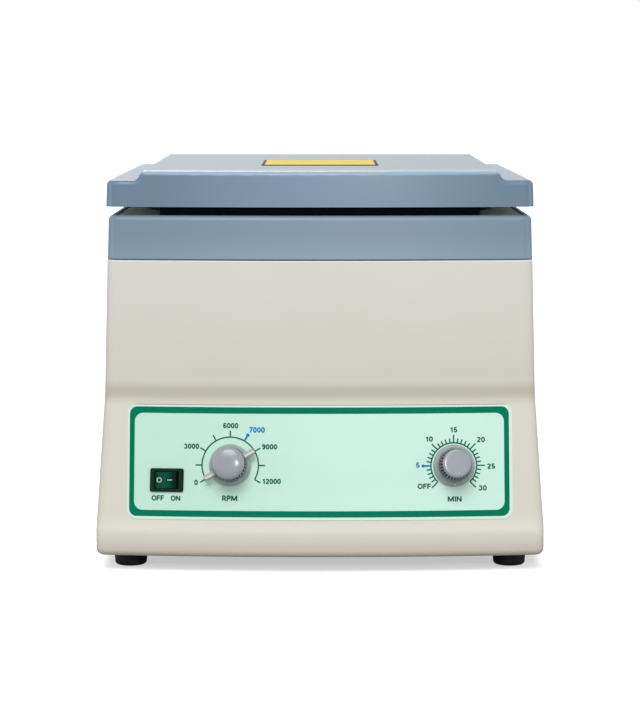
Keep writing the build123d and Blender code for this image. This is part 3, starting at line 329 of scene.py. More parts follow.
copper_wire.set({
    "Base Color": copper_wire.mix(strands, paint(128, 62, 34), paint(206, 122, 74)),
    "Roughness": 0.3 + 0.2 * (1 - strands),
    "Normal": copper_wire.bump(strands, 0.25 * mm, strength=0.8),
})
dress(copper_wire, "field_coils")

# Commutator and brushes: turned copper bars, two blocks of pressed carbon that ride on
# them, and brass holders that guide the blocks.
bare_copper = turned(
    "turned copper", paint(222, 142, 98), paint(170, 96, 62),
    pitch=0.2 * mm, rough=0.22, depth=0.01 * mm,
)
dress(bare_copper, "commutator")
carbon = Finish("pressed carbon", {"Specular IOR Level": 0.4})
carbon_grain = carbon.grain(0.5 * mm, detail=3.0)
carbon.set({
    "Base Color": carbon.mix(carbon_grain, paint(34, 34, 36), paint(66, 66, 68)),
    "Roughness": 0.5 + 0.2 * carbon_grain,
    "Normal": carbon.bump(carbon_grain, 0.05 * mm, strength=0.5),
})
dress(carbon, "carbon_brushes")
brass = Finish("satin brass", {"Metallic": 1.0})
brass_tarnish = brass.grain(4 * mm, detail=3.0)
brass_marks = brass.grain(0.3 * mm, stretch=(0.1, 1.0, 1.0))
brass.set({
    "Base Color": brass.mix(brass_tarnish, paint(214, 182, 106), paint(168, 136, 72)),
    "Roughness": 0.26 + 0.2 * brass_tarnish,
    "Normal": brass.bump(brass_marks, 0.01 * mm, strength=0.4),
})
dress(brass, "brush_holders")
soften(0.2 * mm, "brush_holders")

# Cooling fan: one black moulding with a plain disc and straight blades, pressed on the
# motor's shaft.
black_plastic = Finish("black moulding", {"Specular IOR Level": 0.45})
black_texture = black_plastic.grain(0.35 * mm)
black_flow = black_plastic.grain(18 * mm)
black_plastic.set({
    "Base Color": black_plastic.mix(black_flow, paint(26, 27, 28), paint(40, 41, 42)),
    "Roughness": 0.4 + 0.14 * black_texture,
    "Normal": black_plastic.bump(black_texture, 0.03 * mm, strength=0.5),
})
dress(black_plastic, "cooling_fan")
soften(0.15 * mm, "cooling_fan")

# Speed control board: green lacquered board on four spacers, with tinned tracks and pads,
# and a choke, a heat sink, a terminal strip, a relay and three capacitors on it.
track_share = 0.028
pad_pitch = 5 * mm
pad_share = 0.13
board = Finish("lacquered circuit board", {"Coat Weight": 0.4, "Coat Roughness": 0.25})
tracks = abs(board.grain(7 * mm, detail=1.0) - 0.5) < track_share
pads = board.node("ShaderNodeTexVoronoi", inputs={
    "Vector": board.spot(), "Scale": 1 / pad_pitch, "Randomness": 0.4,
}) < pad_share
lacquer = board.grain(12 * mm, detail=3.0)
board_green = board.mix(lacquer, paint(22, 92, 56), paint(30, 108, 66))
track_green = board.mix(tracks, board_green, paint(62, 142, 90))
board.set({
    "Base Color": board.mix(pads, track_green, paint(198, 198, 192)),
    "Metallic": pads * 0.9,
    "Roughness": 0.34 + 0.12 * lacquer,
    "Normal": board.bump(tracks + pads, 0.04 * mm, strength=0.6),
})
dress(board, "control_board")
dress(black_plastic, "board_parts")
soften(0.3 * mm, "board_parts")

# Housing: one hollow moulding in warm off-white, open below, with a fine spark texture. Its
# colour has painted light: palest at the top of the wall, a painted highlight along the top rim,
# painted shade in the bend above the console, and painted shade, darker and rosier, at the foot.
foot_fade = (12 * mm, 25 * mm)
console_fade = (26 * mm, 40 * mm)
shoulder_fade = (98 * mm, 116 * mm)
wall_fade = (112 * mm, 196 * mm)
rim_fade = (193.0 * mm, 193.6 * mm)
bend_level = 110.6 * mm
bend_reach = 9 * mm


def moulded(name, rough):
    """Textured moulding still without its colour, and the faint clouds to mix that by."""
    finish = Finish(name, {"Specular IOR Level": 0.42})
    flow = finish.grain(55 * mm)
    speckle = finish.grain(1.1 * mm)
    spark = finish.grain(0.45 * mm, detail=1.0)
    finish.set({
        "Roughness": rough + 0.1 * speckle,
        "Normal": finish.bump(spark, 0.02 * mm, strength=0.35),
    })
    return finish, 0.65 * flow + 0.35 * speckle


off_white, off_white_clouds = moulded("off-white moulding", 0.44)
body_level = off_white.along("Z")
# The tones below are painted light and shade on the walls, not the moulding's own colour.
wall_painted_light = off_white.mix(body_level.rise(*wall_fade), paint(219, 215, 206), paint(227, 226, 218))
console_painted_light = off_white.mix(body_level.rise(*console_fade), paint(228, 224, 214), paint(218, 215, 204))
upper_painted_light = off_white.mix(body_level.rise(*shoulder_fade), console_painted_light, wall_painted_light)
foot_painted_shade = off_white.mix(body_level.rise(*foot_fade), paint(204, 195, 184), upper_painted_light)
bend_shade_mask = 1 - abs(body_level - bend_level).rise(0, bend_reach)
bend_painted_shade = off_white.mix(bend_shade_mask, foot_painted_shade, paint(190, 186, 172))
rim_painted_highlight = off_white.mix(body_level.rise(*rim_fade), bend_painted_shade, paint(244, 243, 238))
off_white.set({"Base Color": off_white.mix(off_white_clouds * 0.3, rim_painted_highlight, paint(200, 196, 184))})
dress(off_white, "housing")

# Mains inlet, its brass pins and the fuse holder: black mouldings set into the back wall.
# The fuse cap turns a quarter to come out. Stainless screws hold the inlet's flange, and
# more of them the hinges above.
dress(black_plastic, "power_inlet", "fuse_holder", "fuse_cap")
soften(0.3 * mm, "power_inlet", "fuse_holder")
dress(brass, "inlet_pins")
soften(0.2 * mm, "inlet_pins")
stainless = Finish("brushed stainless", {"Metallic": 1.0, "Anisotropic": 0.4})
brushing = stainless.grain(0.35 * mm, detail=3.0, stretch=(0.03, 1.0, 1.0))
stainless_haze = stainless.grain(40 * mm)
stainless.set({
    "Base Color": stainless.mix(stainless_haze, paint(206, 207, 205), paint(186, 188, 187)),
    "Roughness": 0.22 + 0.16 * brushing + 0.06 * stainless_haze,
    "Normal": stainless.bump(brushing, 0.012 * mm, strength=0.5),
})
dress(stainless, "rear_screws")

# Control label: a printed film stuck on the console. It is pale mint, with painted shade a
# little duller to the left, a paler cut edge outside its frame and a painted shadow along its top.
frame_shift = -0.4 * mm
frame_half = 118.6 * mm
frame_low = 35.7 * mm
frame_high = 102.4 * mm
shade_across = (-110 * mm, 60 * mm)
shadow_line_level = (103.4 * mm, 103.8 * mm)
film = Finish("mint label film", {"Specular IOR Level": 0.3})
film_clouds = film.grain(26 * mm, detail=3.0)
film_painted_shade = film.along("X").rise(*shade_across)
film_weave = film.grain(0.4 * mm, detail=1.0)
# Painted shade: the mint is darker towards the left.
film_mint_shaded = film.mix(film_painted_shade * 0.7 + film_clouds * 0.3, paint(191, 230, 212), paint(206, 241, 228))
past_side = abs(film.along("X") - frame_shift) > frame_half
past_top = film.along("Z") > frame_high
past_foot = film.along("Z") < frame_low
film_edge = past_side.larger(past_top).larger(past_foot)
edge_tone = film.mix(film_edge, film_mint_shaded, paint(214, 238, 226))
# The grey band along the film's top edge is a painted shadow.
film.set({
    "Base Color": film.mix(film.along("Z").rise(*shadow_line_level), edge_tone, paint(158, 158, 148)),
    "Roughness": 0.42 + 0.1 * film_clouds,
    "Normal": film.bump(film_weave, 0.01 * mm, strength=0.3),
})
dress(film, "control_label")

# Border of the label: a broad green line with round corners, screen printed just inside the
# film's cut edge. All print is a thin raised layer of ink, on a console that leans back and
# is slightly bowed from side to side.
crown_radius = 1122 * mm
crown_centre = 983.311 * mm
console_reach = 20.5 * mm
console_height = 84 * mm
waist_level = 110 * mm
lean = atan(console_reach / console_height)
film_sheet = 0.4 * mm
ink_low = -0.05 * mm
ink_high = 0.06 * mm
frame_corner = 4.7 * mm
inner_half = 115.5 * mm
inner_low = 39.5 * mm
inner_high = 98.5 * mm
inner_corner = 5.2 * mm


def console_frame(x, z):
    """Foot, right and outward directions on the film at a place of the console."""
    radius = crown_radius + console_reach * (waist_level - z) / console_height
    swing = asin(x / radius)
    outward = Vector((cos(lean) * sin(swing), -cos(lean) * cos(swing), sin(lean)))
    foot = Vector((x, crown_centre - radius * cos(swing), z)) + outward * film_sheet
    return foot, Vector((cos(swing), sin(swing), 0)), outward


def make_piece(name, form, finish, body, smooth_angle=35):
    """Turns a bmesh into a piece that rides on a body, with sharp edges kept."""
    bmesh.ops.recalc_face_normals(form, faces=form.faces)
    for face in form.faces:
        face.smooth = True
    for edge in form.edges:
        edge.smooth = edge.calc_face_angle(pi) < radians(smooth_angle)
    mesh = bpy.data.meshes.new(name)
    form.to_mesh(mesh)
    form.free()
    mesh.materials.append(finish.material)
    piece = bpy.data.objects.new(name, mesh)
    bpy.context.scene.collection.objects.link(piece)
    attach(piece, body)
    return piece


def press(name, flat, centre, finish):
    """Lays a flat print on the film about a centre."""
    for v in flat.verts:
        foot, right, outward = console_frame(centre[0] + v.co.x, centre[1] + v.co.y * cos(lean))
        v.co = foot + outward * (ink_low + (ink_high - ink_low) * v.co.z)
    return make_piece(name, flat, finish, "root")


def ink(name, colour, faded):
    """Screen print ink: nearly even, with tiny pinholes and a soft satin edge."""
    finish = Finish(name, {"Specular IOR Level": 0.02})
    cover = finish.grain(0.9 * mm, detail=3.0)
    finish.set({
        "Base Color": finish.mix(cover.rise(0.35, 0.75), colour, faded),
        "Roughness": 0.38 + 0.12 * cover,
        "Normal": finish.bump(cover, 0.01 * mm, strength=0.3),
    })
    return finish


def ribbon(flat, left, right, closed=False, top=1.0):
    """Thin solid between two lines of points, in the flat space of a print."""
    rows = []
    for (a, b), (c, d) in zip(left, right):
        corners = ((a, b, 0), (c, d, 0), (c, d, top), (a, b, top))
        rows.append([flat.verts.new(corner) for corner in corners])
    for i in range(len(rows) if closed else len(rows) - 1):
        first = rows[i]
        second = rows[(i + 1) % len(rows)]
        for k in range(4):
            flat.faces.new((first[k], first[(k + 1) % 4], second[(k + 1) % 4], second[k]))
    if not closed:
        flat.faces.new(rows[0])
        flat.faces.new(reversed(rows[-1]))


def bend(x, y, across, up, start, end, steps=14):
    """Points on an ellipse from one angle to another, counted from the right."""
    angles = [radians(start + (end - start) * i / steps) for i in range(steps + 1)]
    return [(x + across * cos(a), y + up * sin(a)) for a in angles]


def round_box(half, low, high, corner, middle, steps=8, along_side=26):
    """Points of a round-cornered frame line, as many whatever its size."""
    right, top, foot = half - corner, high - corner, low + corner
    centres = ((right, top), (-right, top), (-right, foot), (right, foot))
    corners = [bend(x, z, corner, corner, 90 * i, 90 * i + 90, steps) for i, (x, z) in enumerate(centres)]
    points = []
    for first, second in zip(corners, corners[1:] + corners[:1]):
        points += first
        for k in range(1, along_side):
            share = k / along_side
            points.append(tuple(a + (b - a) * share for a, b in zip(first[-1], second[0])))
    return [(x, (z - middle) / cos(lean)) for x, z in points]


frame_middle = (frame_shift, (frame_low + frame_high) / 2)
border = bmesh.new()
ribbon(
    border,
    round_box(frame_half, frame_low, frame_high, frame_corner, frame_middle[1]),
    round_box(inner_half, inner_low, inner_high, inner_corner, frame_middle[1]),
    closed=True,
)
green_ink = ink("green ink", paint(2, 118, 88), paint(10, 125, 95))
press("label_border", border, frame_middle, green_ink)

# Scale of the speed dial: an arc with ticks and numbers in dark green ink, and a blue mark
# at the usual speed. It is screen printed on the film, in letters made of strokes of one
# weight, and the ink is a shade thicker where strokes cross.
line_width = 0.86 * mm
blue_width = 1.3 * line_width
overprint = 0.06
letter_weight = 0.25
letter_gap = 0.11
number_height = 3.15 * mm
caption_height = 3.3 * mm
caption_stretch = 1.14
speed_dial = (-55.9 * mm, 67.1 * mm)
speed_start = 210
speed_end = -30
speed_step = 30
speed_arc = 17.6 * mm
speed_tick_end = 21.6 * mm
speed_blue_angle = 60
speed_blue_end = 21.0 * mm
speed_dot_reach = 21.8 * mm
speed_dot_radius = 1.1 * mm
speed_numbers = [  # the middle of each, in millimetres from the dial's centre
    ("0", -21.3, -10.9), ("3000", -24.2, 11.7), ("6000", 0.2, 24.8), ("9000", 24.5, 11.7),
    ("12000", 25.8, -9.9),
]
stem = [(0.085, 0), (0.085, 1)]
bowl = [(0.085, 0.915), (0.32, 0.915)] + bend(0.32, 0.69, 0.2, 0.225, 80, -80)
bowl += [(0.32, 0.465), (0.085, 0.465)]
letters = {  # the width of each and its strokes, on a height of one
    "0": (0.63, [bend(0.315, 0.5, 0.23, 0.415, 0, 360, 28)]),
    "1": (0.5, [[(0.33, 0), (0.33, 1)], [(0.3, 0.86), (0.08, 0.7)]]),
    "2": (0.63, [bend(0.3, 0.69, 0.215, 0.225, 168, -38) + [(0.1, 0.1)], [(0.04, 0.085), (0.58, 0.085)]]),
    "3": (0.63, [bend(0.29, 0.7, 0.2, 0.205, 165, -80), bend(0.29, 0.3, 0.235, 0.21, 80, -165)]),
    "5": (0.63, [[(0.53, 0.915), (0.19, 0.915), (0.14, 0.5)] + bend(0.3, 0.305, 0.235, 0.22, 115, -155)]),
    "6": (0.63, [bend(0.32, 0.295, 0.225, 0.21, 0, 360, 24), bend(0.34, 0.5, 0.245, 0.415, 195, 45)]),
    "7": (0.6, [[(0.03, 0.915), (0.51, 0.915), (0.22, 0)]]),
    "9": (0.63, [bend(0.31, 0.705, 0.225, 0.21, 0, 360, 24), bend(0.29, 0.5, 0.245, 0.415, 15, -135)]),
    "F": (0.6, [stem, [(0.085, 0.915), (0.6, 0.915)], [(0.085, 0.5), (0.54, 0.5)]]),
    "I": (0.25, [[(0.125, 0), (0.125, 1)]]),
    "M": (1.02, [
        stem, [(0.895, 0), (0.895, 1)], [(0.13, 0.94), (0.49, 0.1)], [(0.85, 0.94), (0.49, 0.1)],
    ]),
    "N": (0.8, [stem, [(0.715, 0), (0.715, 1)], [(0.13, 0.92), (0.67, 0.08)]]),
    "O": (0.84, [bend(0.42, 0.5, 0.335, 0.415, 0, 360, 32)]),
    "P": (0.62, [stem, bowl]),
    "R": (0.68, [stem, bowl, [(0.34, 0.465), (0.6, 0)]]),
    " ": (0.5, []),
}


def stroke(flat, points, width, closed=False, top=1.0):
    """Line of even width through the points, mitred at its corners."""
    left = []
    right = []
    count = len(points)
    for i, (x, y) in enumerate(points):
        before = points[i - 1] if closed or i > 0 else None
        after = points[(i + 1) % count] if closed or i < count - 1 else None
        sides = []
        for start, end in ((before, (x, y)), ((x, y), after)):
            if start and end:
                run = Vector((end[0] - start[0], end[1] - start[1])).normalized()
                sides.append(Vector((-run.y, run.x)))
        if len(sides) == 1:
            sides = sides * 2
        side = (sides[0] + sides[1]) * (width / 2 / (1 + sides[0].dot(sides[1])))
        left.append((x + side.x, y + side.y))
        right.append((x - side.x, y - side.y))
    ribbon(flat, left, right, closed, top)


def arc(flat, radius, start, end):
    """Printed arc about the dial's centre."""
    stroke(flat, bend(0, 0, radius, radius, start, end, steps=72), line_width)


def tick(flat, angle, start, end, width):
    """Printed line that points out from the dial's centre."""
    a = radians(angle)
    points = [(cos(a) * r, sin(a) * r) for r in (start, (start + end) / 2, end)]
    stroke(flat, points, width, top=1 + overprint)


def dot(flat, across, up, radius, steps=20):
    """Printed round dot, laid as a ribbon from its foot to its top."""
    heights = [-cos(pi * i / steps) for i in range(steps + 1)]
    halves = [max(radius * (1 - h * h) ** 0.5, 0.02 * mm) for h in heights]
    left = [(across - w, up + radius * h) for w, h in zip(halves, heights)]
    right = [(across + w, up + radius * h) for w, h in zip(halves, heights)]
    ribbon(flat, left, right, top=1 + 2 * overprint)


def words(flat, text, across, up, height, stretch=1.05):
    """Printed letters or numbers with their middle at a place."""
    length = stretch * sum(letters[sign][0] for sign in text) + letter_gap * (len(text) - 1)
    start = -length / 2
    for sign in text:
        width, strokes = letters[sign]
        for k, points in enumerate(strokes):
            placed = [(across + (start + stretch * x) * height, up + (y - 0.5) * height) for x, y in points]
            ring = (Vector(placed[0]) - Vector(placed[-1])).length < 0.001 * mm
            stroke(flat, placed[:-1] if ring else placed, letter_weight * height, ring, 1 + overprint * k)
        start += stretch * width + letter_gap


speed_print = bmesh.new()
arc(speed_print, speed_arc, speed_end, speed_start)
for angle in range(speed_start, speed_end - 1, -speed_step):
    if angle != speed_blue_angle:
        tick(speed_print, angle, speed_arc, speed_tick_end, line_width)
for text, across, up in speed_numbers:
    words(speed_print, text, across * mm, up * mm, number_height)
words(speed_print, "RPM", -0.2 * mm, -20.6 * mm, caption_height, caption_stretch)
dark_ink = ink("dark green ink", paint(4, 100, 78), paint(14, 110, 88))
press("speed_scale", speed_print, speed_dial, dark_ink)
speed_blue = bmesh.new()
tick(speed_blue, speed_blue_angle, speed_arc, speed_blue_end, blue_width)
dot(
    speed_blue,
    speed_dot_reach * cos(radians(speed_blue_angle)),
    speed_dot_reach * sin(radians(speed_blue_angle)),
    speed_dot_radius,
)
words(speed_blue, "7000", 16.6 * mm, 22.2 * mm, caption_height)
blue_ink = ink("blue ink", paint(16, 122, 186), paint(34, 138, 198))
press("speed_blue_mark", speed_blue, speed_dial, blue_ink)

# Scale of the timer dial: an arc with a tick for each minute, longer at every fifth, and
# numbers in dark green ink. A blue mark stands at five minutes, the usual time.
timer_dial = (83.4 * mm, 66.6 * mm)
timer_arc = 14.3 * mm
timer_start = 225
timer_minutes = 30
minute_turn = 9
timer_long_tick = 19.4 * mm
timer_short_tick = 17.2 * mm
timer_blue_angle = 180
timer_blue_reach = 19.2 * mm
timer_dot_radius = 1.0 * mm
timer_stretch = 1.17
timer_numbers = [  # the middle of each, in millimetres from the dial's centre
    ("OFF", -18.5, -12.7), ("10", -15.3, 16.8), ("15", 0.1, 22.5), ("20", 17.1, 16.2),
    ("25", 23.4, -0.6), ("30", 18.0, -14.1),
]
timer_print = bmesh.new()
arc(timer_print, timer_arc, timer_start - minute_turn * timer_minutes, timer_start)
for minute in range(timer_minutes + 1):
    angle = timer_start - minute_turn * minute
    if angle != timer_blue_angle:
        tick_end = timer_long_tick if minute % 5 == 0 else timer_short_tick
        tick(timer_print, angle, timer_arc, tick_end, line_width)
for text, across, up in timer_numbers:
    words(timer_print, text, across * mm, up * mm, number_height, timer_stretch)
words(timer_print, "MIN", 0.4 * mm, -20.8 * mm, caption_height, caption_stretch)
press("timer_scale", timer_print, timer_dial, dark_ink)
timer_blue = bmesh.new()
tick(timer_blue, timer_blue_angle, timer_arc, timer_blue_reach, blue_width)
dot(timer_blue, -timer_blue_reach, 0.0, timer_dot_radius)
words(timer_blue, "5", -22.5 * mm, 0.6 * mm, number_height, timer_stretch)
press("timer_blue_mark", timer_blue, timer_dial, blue_ink)

# Caption of the mains switch: the words OFF and ON below its rocker, screen printed on the
# film with the scales.
switch_caption_place = (-95.9 * mm, 46.8 * mm)
switch_print = bmesh.new()
words(switch_print, "OFF  ON", 0.0, 0.0, 3.2 * mm)
press("switch_caption", switch_print, switch_caption_place, dark_ink)

# Mains switch: a dark snap-in frame and a clear green rocker, tilted to its off side, with
# a white ring and a white bar printed on it.
switch_middle = (-95.4 * mm, 57.7 * mm)
rocker_shade = (switch_middle[0] - 1 * mm, switch_middle[0] + 5 * mm)
rocker_tilt = radians(9)
rocker_sink = 2.0 * mm
rocker_half = 7.3 * mm
rocker_middle_rise = 2.5 * mm
rocker_end_rise = 3.4 * mm
rocker_slope = (rocker_end_rise - rocker_middle_rise) / rocker_half
ring_middle = -4.4 * mm
ring_outer = 1.6 * mm
ring_inner = 1.15 * mm
bar_ends = [(0.9 * mm, 0.0), (3.9 * mm, 0.0)]
bar_width = 0.5 * mm
mark_sink = 0.03 * mm
mark_height = 0.08 * mm
switch_frame = Finish("dark green switch frame", {"Specular IOR Level": 0.08})
switch_texture = switch_frame.grain(0.4 * mm)
switch_frame.set({
    "Base Color": switch_frame.mix(switch_texture, paint(4, 36, 28), paint(10, 44, 35)),
    "Roughness": 0.34 + 0.12 * switch_texture,
    "Normal": switch_frame.bump(switch_texture, 0.02 * mm, strength=0.4),
})
dress(switch_frame, "power_switch")
rocker_green = Finish("clear green rocker", {"Specular IOR Level": 0.08})
rocker_depth = rocker_green.grain(3.5 * mm)
rocker_side = rocker_green.along("X").rise(*rocker_shade)
rocker_lit = rocker_green.mix(rocker_depth, paint(0, 68, 50), paint(8, 88, 66))
rocker_green.set({
    "Base Color": rocker_green.mix(rocker_side, rocker_lit, paint(0, 38, 26)),
    "Roughness": 0.16 + 0.08 * rocker_depth,
    "Normal": rocker_green.bump(rocker_depth, 0.03 * mm, strength=0.3),
})
dress(rocker_green, "switch_rocker")
soften(0.25 * mm, "switch_rocker")


def console_place(x, z):
    """Matrix of the console's frame: X right, Y up the slope, Z straight out of the film."""
    foot, right, outward = console_frame(x, z)
    up = outward.cross(right)
    return Matrix((
        (right.x, up.x, outward.x, foot.x),
        (right.y, up.y, outward.y, foot.y),
        (right.z, up.z, outward.z, foot.z),
        (0, 0, 0, 1),
    ))


marks = bmesh.new()
ribbon(
    marks,
    bend(ring_middle, 0.0, ring_outer, ring_outer, 0, 360, steps=28)[:-1],
    bend(ring_middle, 0.0, ring_inner, ring_inner, 0, 360, steps=28)[:-1],
    closed=True,
)
stroke(marks, bar_ends, bar_width)
rocker_place = (
    console_place(*switch_middle)
    @ Matrix.Translation((0, 0, -rocker_sink))
    @ Matrix.Rotation(-rocker_tilt, 4, "Y")
)
for v in marks.verts:
    level = rocker_middle_rise + rocker_slope * abs(v.co.x) - mark_sink + mark_height * v.co.z
    v.co = rocker_place @ Vector((v.co.x, v.co.y, level))
white_ink = ink("white ink", paint(226, 232, 228), paint(204, 214, 208))
make_piece("rocker_marks", marks, white_ink, "rocker")

# Knobs: satin grey mouldings with a wide skirt, a fluted grip and a cap, hollow below so
# that they clear the panel nuts. The speed knob's cap is domed and the timer's is flat.
# Their sections are radius and height in millimetres, from the bore outwards.
knob_steps = 240
knob_flutes = 30
flute_depth = 1.0
grip_foot = 5.4
grip_head = 13.9
flute_start = 0.6
flute_end = 0.8
grip_shade_fade = (3.5 * mm, 7.5 * mm)
cap_fade = (12.6 * mm, 14.2 * mm)
shaft_bore = 3.02
nut_room = 9.8
skirt_section = [
    (0.0, 13.2), (shaft_bore, 13.2), (shaft_bore, 2.7), (nut_room, 2.6), (nut_room, 0.8),
    (12.6, 0.8), (12.9, 0.95), (13.0, 1.25), (13.0, 1.8), (12.88, 2.2), (12.6, 2.65), (12.1, 3.3),
    (11.6, 4.0), (11.2, 4.7),
]
speed_section = [
    (10.95, 5.4), (10.85, 5.8), (10.7, 7.0), (10.5, 9.0), (10.25, 11.0), (10.0, 12.6), (9.7, 13.6),
    (9.66, 14.05), (9.85, 14.35), (9.98, 14.75), (10.0, 15.2), (9.86, 15.7), (9.5, 16.15), (8.9, 16.55),
    (8.0, 16.88), (6.6, 17.18), (5.0, 17.4), (3.2, 17.54), (1.5, 17.59), (0.0, 17.6),
]
timer_section = [
    (10.6, 5.4), (10.45, 5.8), (10.1, 7.0), (9.75, 9.0), (9.35, 11.0), (8.95, 12.6), (8.6, 13.6),
    (8.55, 14.1), (8.7, 14.4), (8.8, 14.8), (8.82, 15.6), (8.8, 16.4), (8.68, 16.95), (8.45, 17.3),
    (8.1, 17.5), (7.6, 17.58), (6.8, 17.6), (5.0, 17.6), (2.5, 17.6), (0.0, 17.6),
]


def knob_form(section, place):
    """Knob turned from its section, with flutes pressed into the grip."""
    form = bmesh.new()
    rows = []
    for radius, height in section:
        if radius == 0:
            rows.append([form.verts.new((0, 0, height * mm))])
            continue
        on_grip = min(1.0, (height - grip_foot) / flute_start, (grip_head - height) / flute_end)
        depth = flute_depth * max(0.0, on_grip) if radius > shaft_bore else 0.0
        row = []
        for i in range(knob_steps):
            a = 2 * pi * i / knob_steps
            r = (radius - depth * max(0.0, cos(a * knob_flutes)) ** 2) * mm
            row.append(form.verts.new((r * cos(a), r * sin(a), height * mm)))
        rows.append(row)
    for first, second in zip(rows, rows[1:]):
        for i in range(knob_steps):
            j = (i + 1) % knob_steps
            if len(first) == 1:
                form.faces.new((first[0], second[i], second[j]))
            elif len(second) == 1:
                form.faces.new((first[i], first[j], second[0]))
            else:
                form.faces.new((first[i], first[j], second[j], second[i]))
    form.transform(place)
    return form


def measured(finish, direction, place):
    """Distance from a place of the console, measured along one direction."""
    along = finish.node(
        "ShaderNodeVectorMath", {"operation": "DOT_PRODUCT"}, {0: finish.spot(), 1: direction}, "Value"
    )
    return along - direction.dot(place.translation)


def knob_finish(name, place):
    """Satin knob plastic, pale on the skirt and the cap, with painted shade darkening the grip."""
    finish = Finish(name, {"Specular IOR Level": 0.45})
    height = measured(finish, place.col[2].to_3d(), place)
    cloud = finish.grain(9 * mm)
    polish = finish.grain(0.5 * mm)
    # Painted shade: the grip under the cap is darkened.
    skirt_and_grip_shade = finish.mix(height.rise(*grip_shade_fade), paint(162, 167, 168), paint(94, 97, 102))
    cap_tone = finish.mix(cloud, paint(158, 163, 170), paint(150, 155, 162))
    finish.set({
        "Base Color": finish.mix(height.rise(*cap_fade), skirt_and_grip_shade, cap_tone),
        "Roughness": 0.17 + 0.05 * polish,
        "Normal": finish.bump(polish, 0.006 * mm, strength=0.3),
    })
    return finish


for name, dial, section, body in (
    ("speed_knob", speed_dial, speed_section, "speed_control"),
    ("timer_knob", timer_dial, timer_section, "timer_control"),
):
    place = console_place(*dial)
    form = knob_form(skirt_section + section, place)
    knob = make_piece(name + "_turned", form, knob_finish(name + " plastic", place), body, 50)
    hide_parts(name)

# Pointer of the speed knob: a bar of clear grey plastic, set across the skirt and polished on
# top. Its colour has a painted glint that runs from end to end and painted shade on one side of it.
pointer_angle = radians(30)
lit_side = (-1.6 * mm, -0.9 * mm)
glint_shift = 0.2 * mm
glint_half = 0.6 * mm
clear_bar = Finish("clear grey bar", {"Transmission Weight": 0.2, "IOR": 1.49})
speed_place = console_place(*speed_dial)
up_slope, to_right = speed_place.col[1].to_3d(), speed_place.col[0].to_3d()
bar_side = up_slope * cos(pointer_angle) - to_right * sin(pointer_angle)
bar_across = measured(clear_bar, bar_side, speed_place)
# Painted glint along the bar and painted shade on its lower side.
bar_glint = abs(bar_across + glint_shift).rise(0.4 * glint_half, glint_half)
bar_streaks = clear_bar.grain(1.2 * mm, stretch=(1.0, 1.0, 0.3))
streak_tone = clear_bar.mix(bar_streaks, paint(212, 208, 200), paint(176, 182, 174))
bar_painted_shade_tone = clear_bar.mix(bar_across.rise(*lit_side), paint(124, 136, 126), streak_tone)
clear_bar.set({
    "Base Color": clear_bar.mix(bar_glint, paint(240, 240, 234), bar_painted_shade_tone),
    "Roughness": 0.2 + 0.1 * bar_streaks,
    "Normal": clear_bar.bump(bar_streaks, 0.04 * mm, strength=0.4),
})
dress(clear_bar, "speed_pointer")
soften(0.3 * mm, "speed_pointer")

# Line of the timer knob: a short white line of ink down the slope of the skirt, let in a
# little so that it holds. Its sizes are in millimetres, as those of the knobs.
line_half = 0.35
line_reach = (11.6, 12.6)
line_level = (4.0, 2.65)
line_fall = (line_level[1] - line_level[0]) / (line_reach[1] - line_reach[0])
line_sink = 0.05
line_height = 0.14
line_form = bmesh.new()
ribbon(line_form, [(-line_half, r) for r in line_reach], [(line_half, r) for r in line_reach])
for v in line_form.verts:
    level = line_level[0] + line_fall * (v.co.y - line_reach[0]) - line_sink + line_height * v.co.z
    v.co = console_place(*timer_dial) @ Vector((v.co.x * mm, -v.co.y * mm, level * mm))
make_piece("timer_line", line_form, white_ink, "timer_control")

# Shafts and cases behind the console: plated shafts, the black potentiometer and the plated
# case of the clockwork timer, which brass nuts hold to the panel.
dress(zinc, "speed_shaft", "timer_shaft", "timer_body")
dress(brass, "panel_nuts")
dress(black_plastic, "speed_potentiometer")
soften(0.4 * mm, "timer_body", "speed_potentiometer")

# Collar: a blue-grey moulding with the housing's fine grain, which sits on the housing's
# ledge and carries the deck. Its colour has painted light, paler near its foot and darker towards
# its ends, and a painted shadow along the joint at its foot.
joint_shadow_edge = (194.5 * mm, 195.2 * mm)
collar_foot_light_fade = (194 * mm, 212 * mm)
collar_shade_ends = (40 * mm, 125 * mm)
collar_blue, collar_clouds = moulded("blue-grey collar moulding", 0.32)
collar_level = collar_blue.along("Z")
# Painted light and shade: paler near the foot, a painted shadow in the joint, darker at the ends.
collar_foot_light_tone = collar_blue.mix(collar_level.rise(*collar_foot_light_fade), paint(142, 165, 183), paint(129, 152, 171))
joint_shadow_tone = collar_blue.mix(collar_level.rise(*joint_shadow_edge), paint(30, 33, 36), collar_foot_light_tone)
collar_end_shade = abs(collar_blue.along("X")).rise(*collar_shade_ends)
collar_clouds_and_shade = collar_clouds * 0.25 + collar_end_shade * 0.25
collar_blue.set({"Base Color": collar_blue.mix(collar_clouds_and_shade, joint_shadow_tone, paint(112, 136, 156))})
dress(collar_blue, "collar")

# Lid: the same blue-grey moulding with a raised platform on its roof, hung on the rear
# hinges. Its colour has a painted highlight along the platform's front edge and painted shade
# on the roof and towards its ends.
edge_highlight_level = (247.0 * mm, 248.8 * mm)
roof_shade_level = (249.4 * mm, 249.8 * mm)
lid_shade_ends = (30 * mm, 120 * mm)
lid_blue, lid_clouds = moulded("blue-grey lid moulding", 0.26)
lid_end_shade = abs(lid_blue.along("X")).rise(*lid_shade_ends)
lid_level = lid_blue.along("Z")
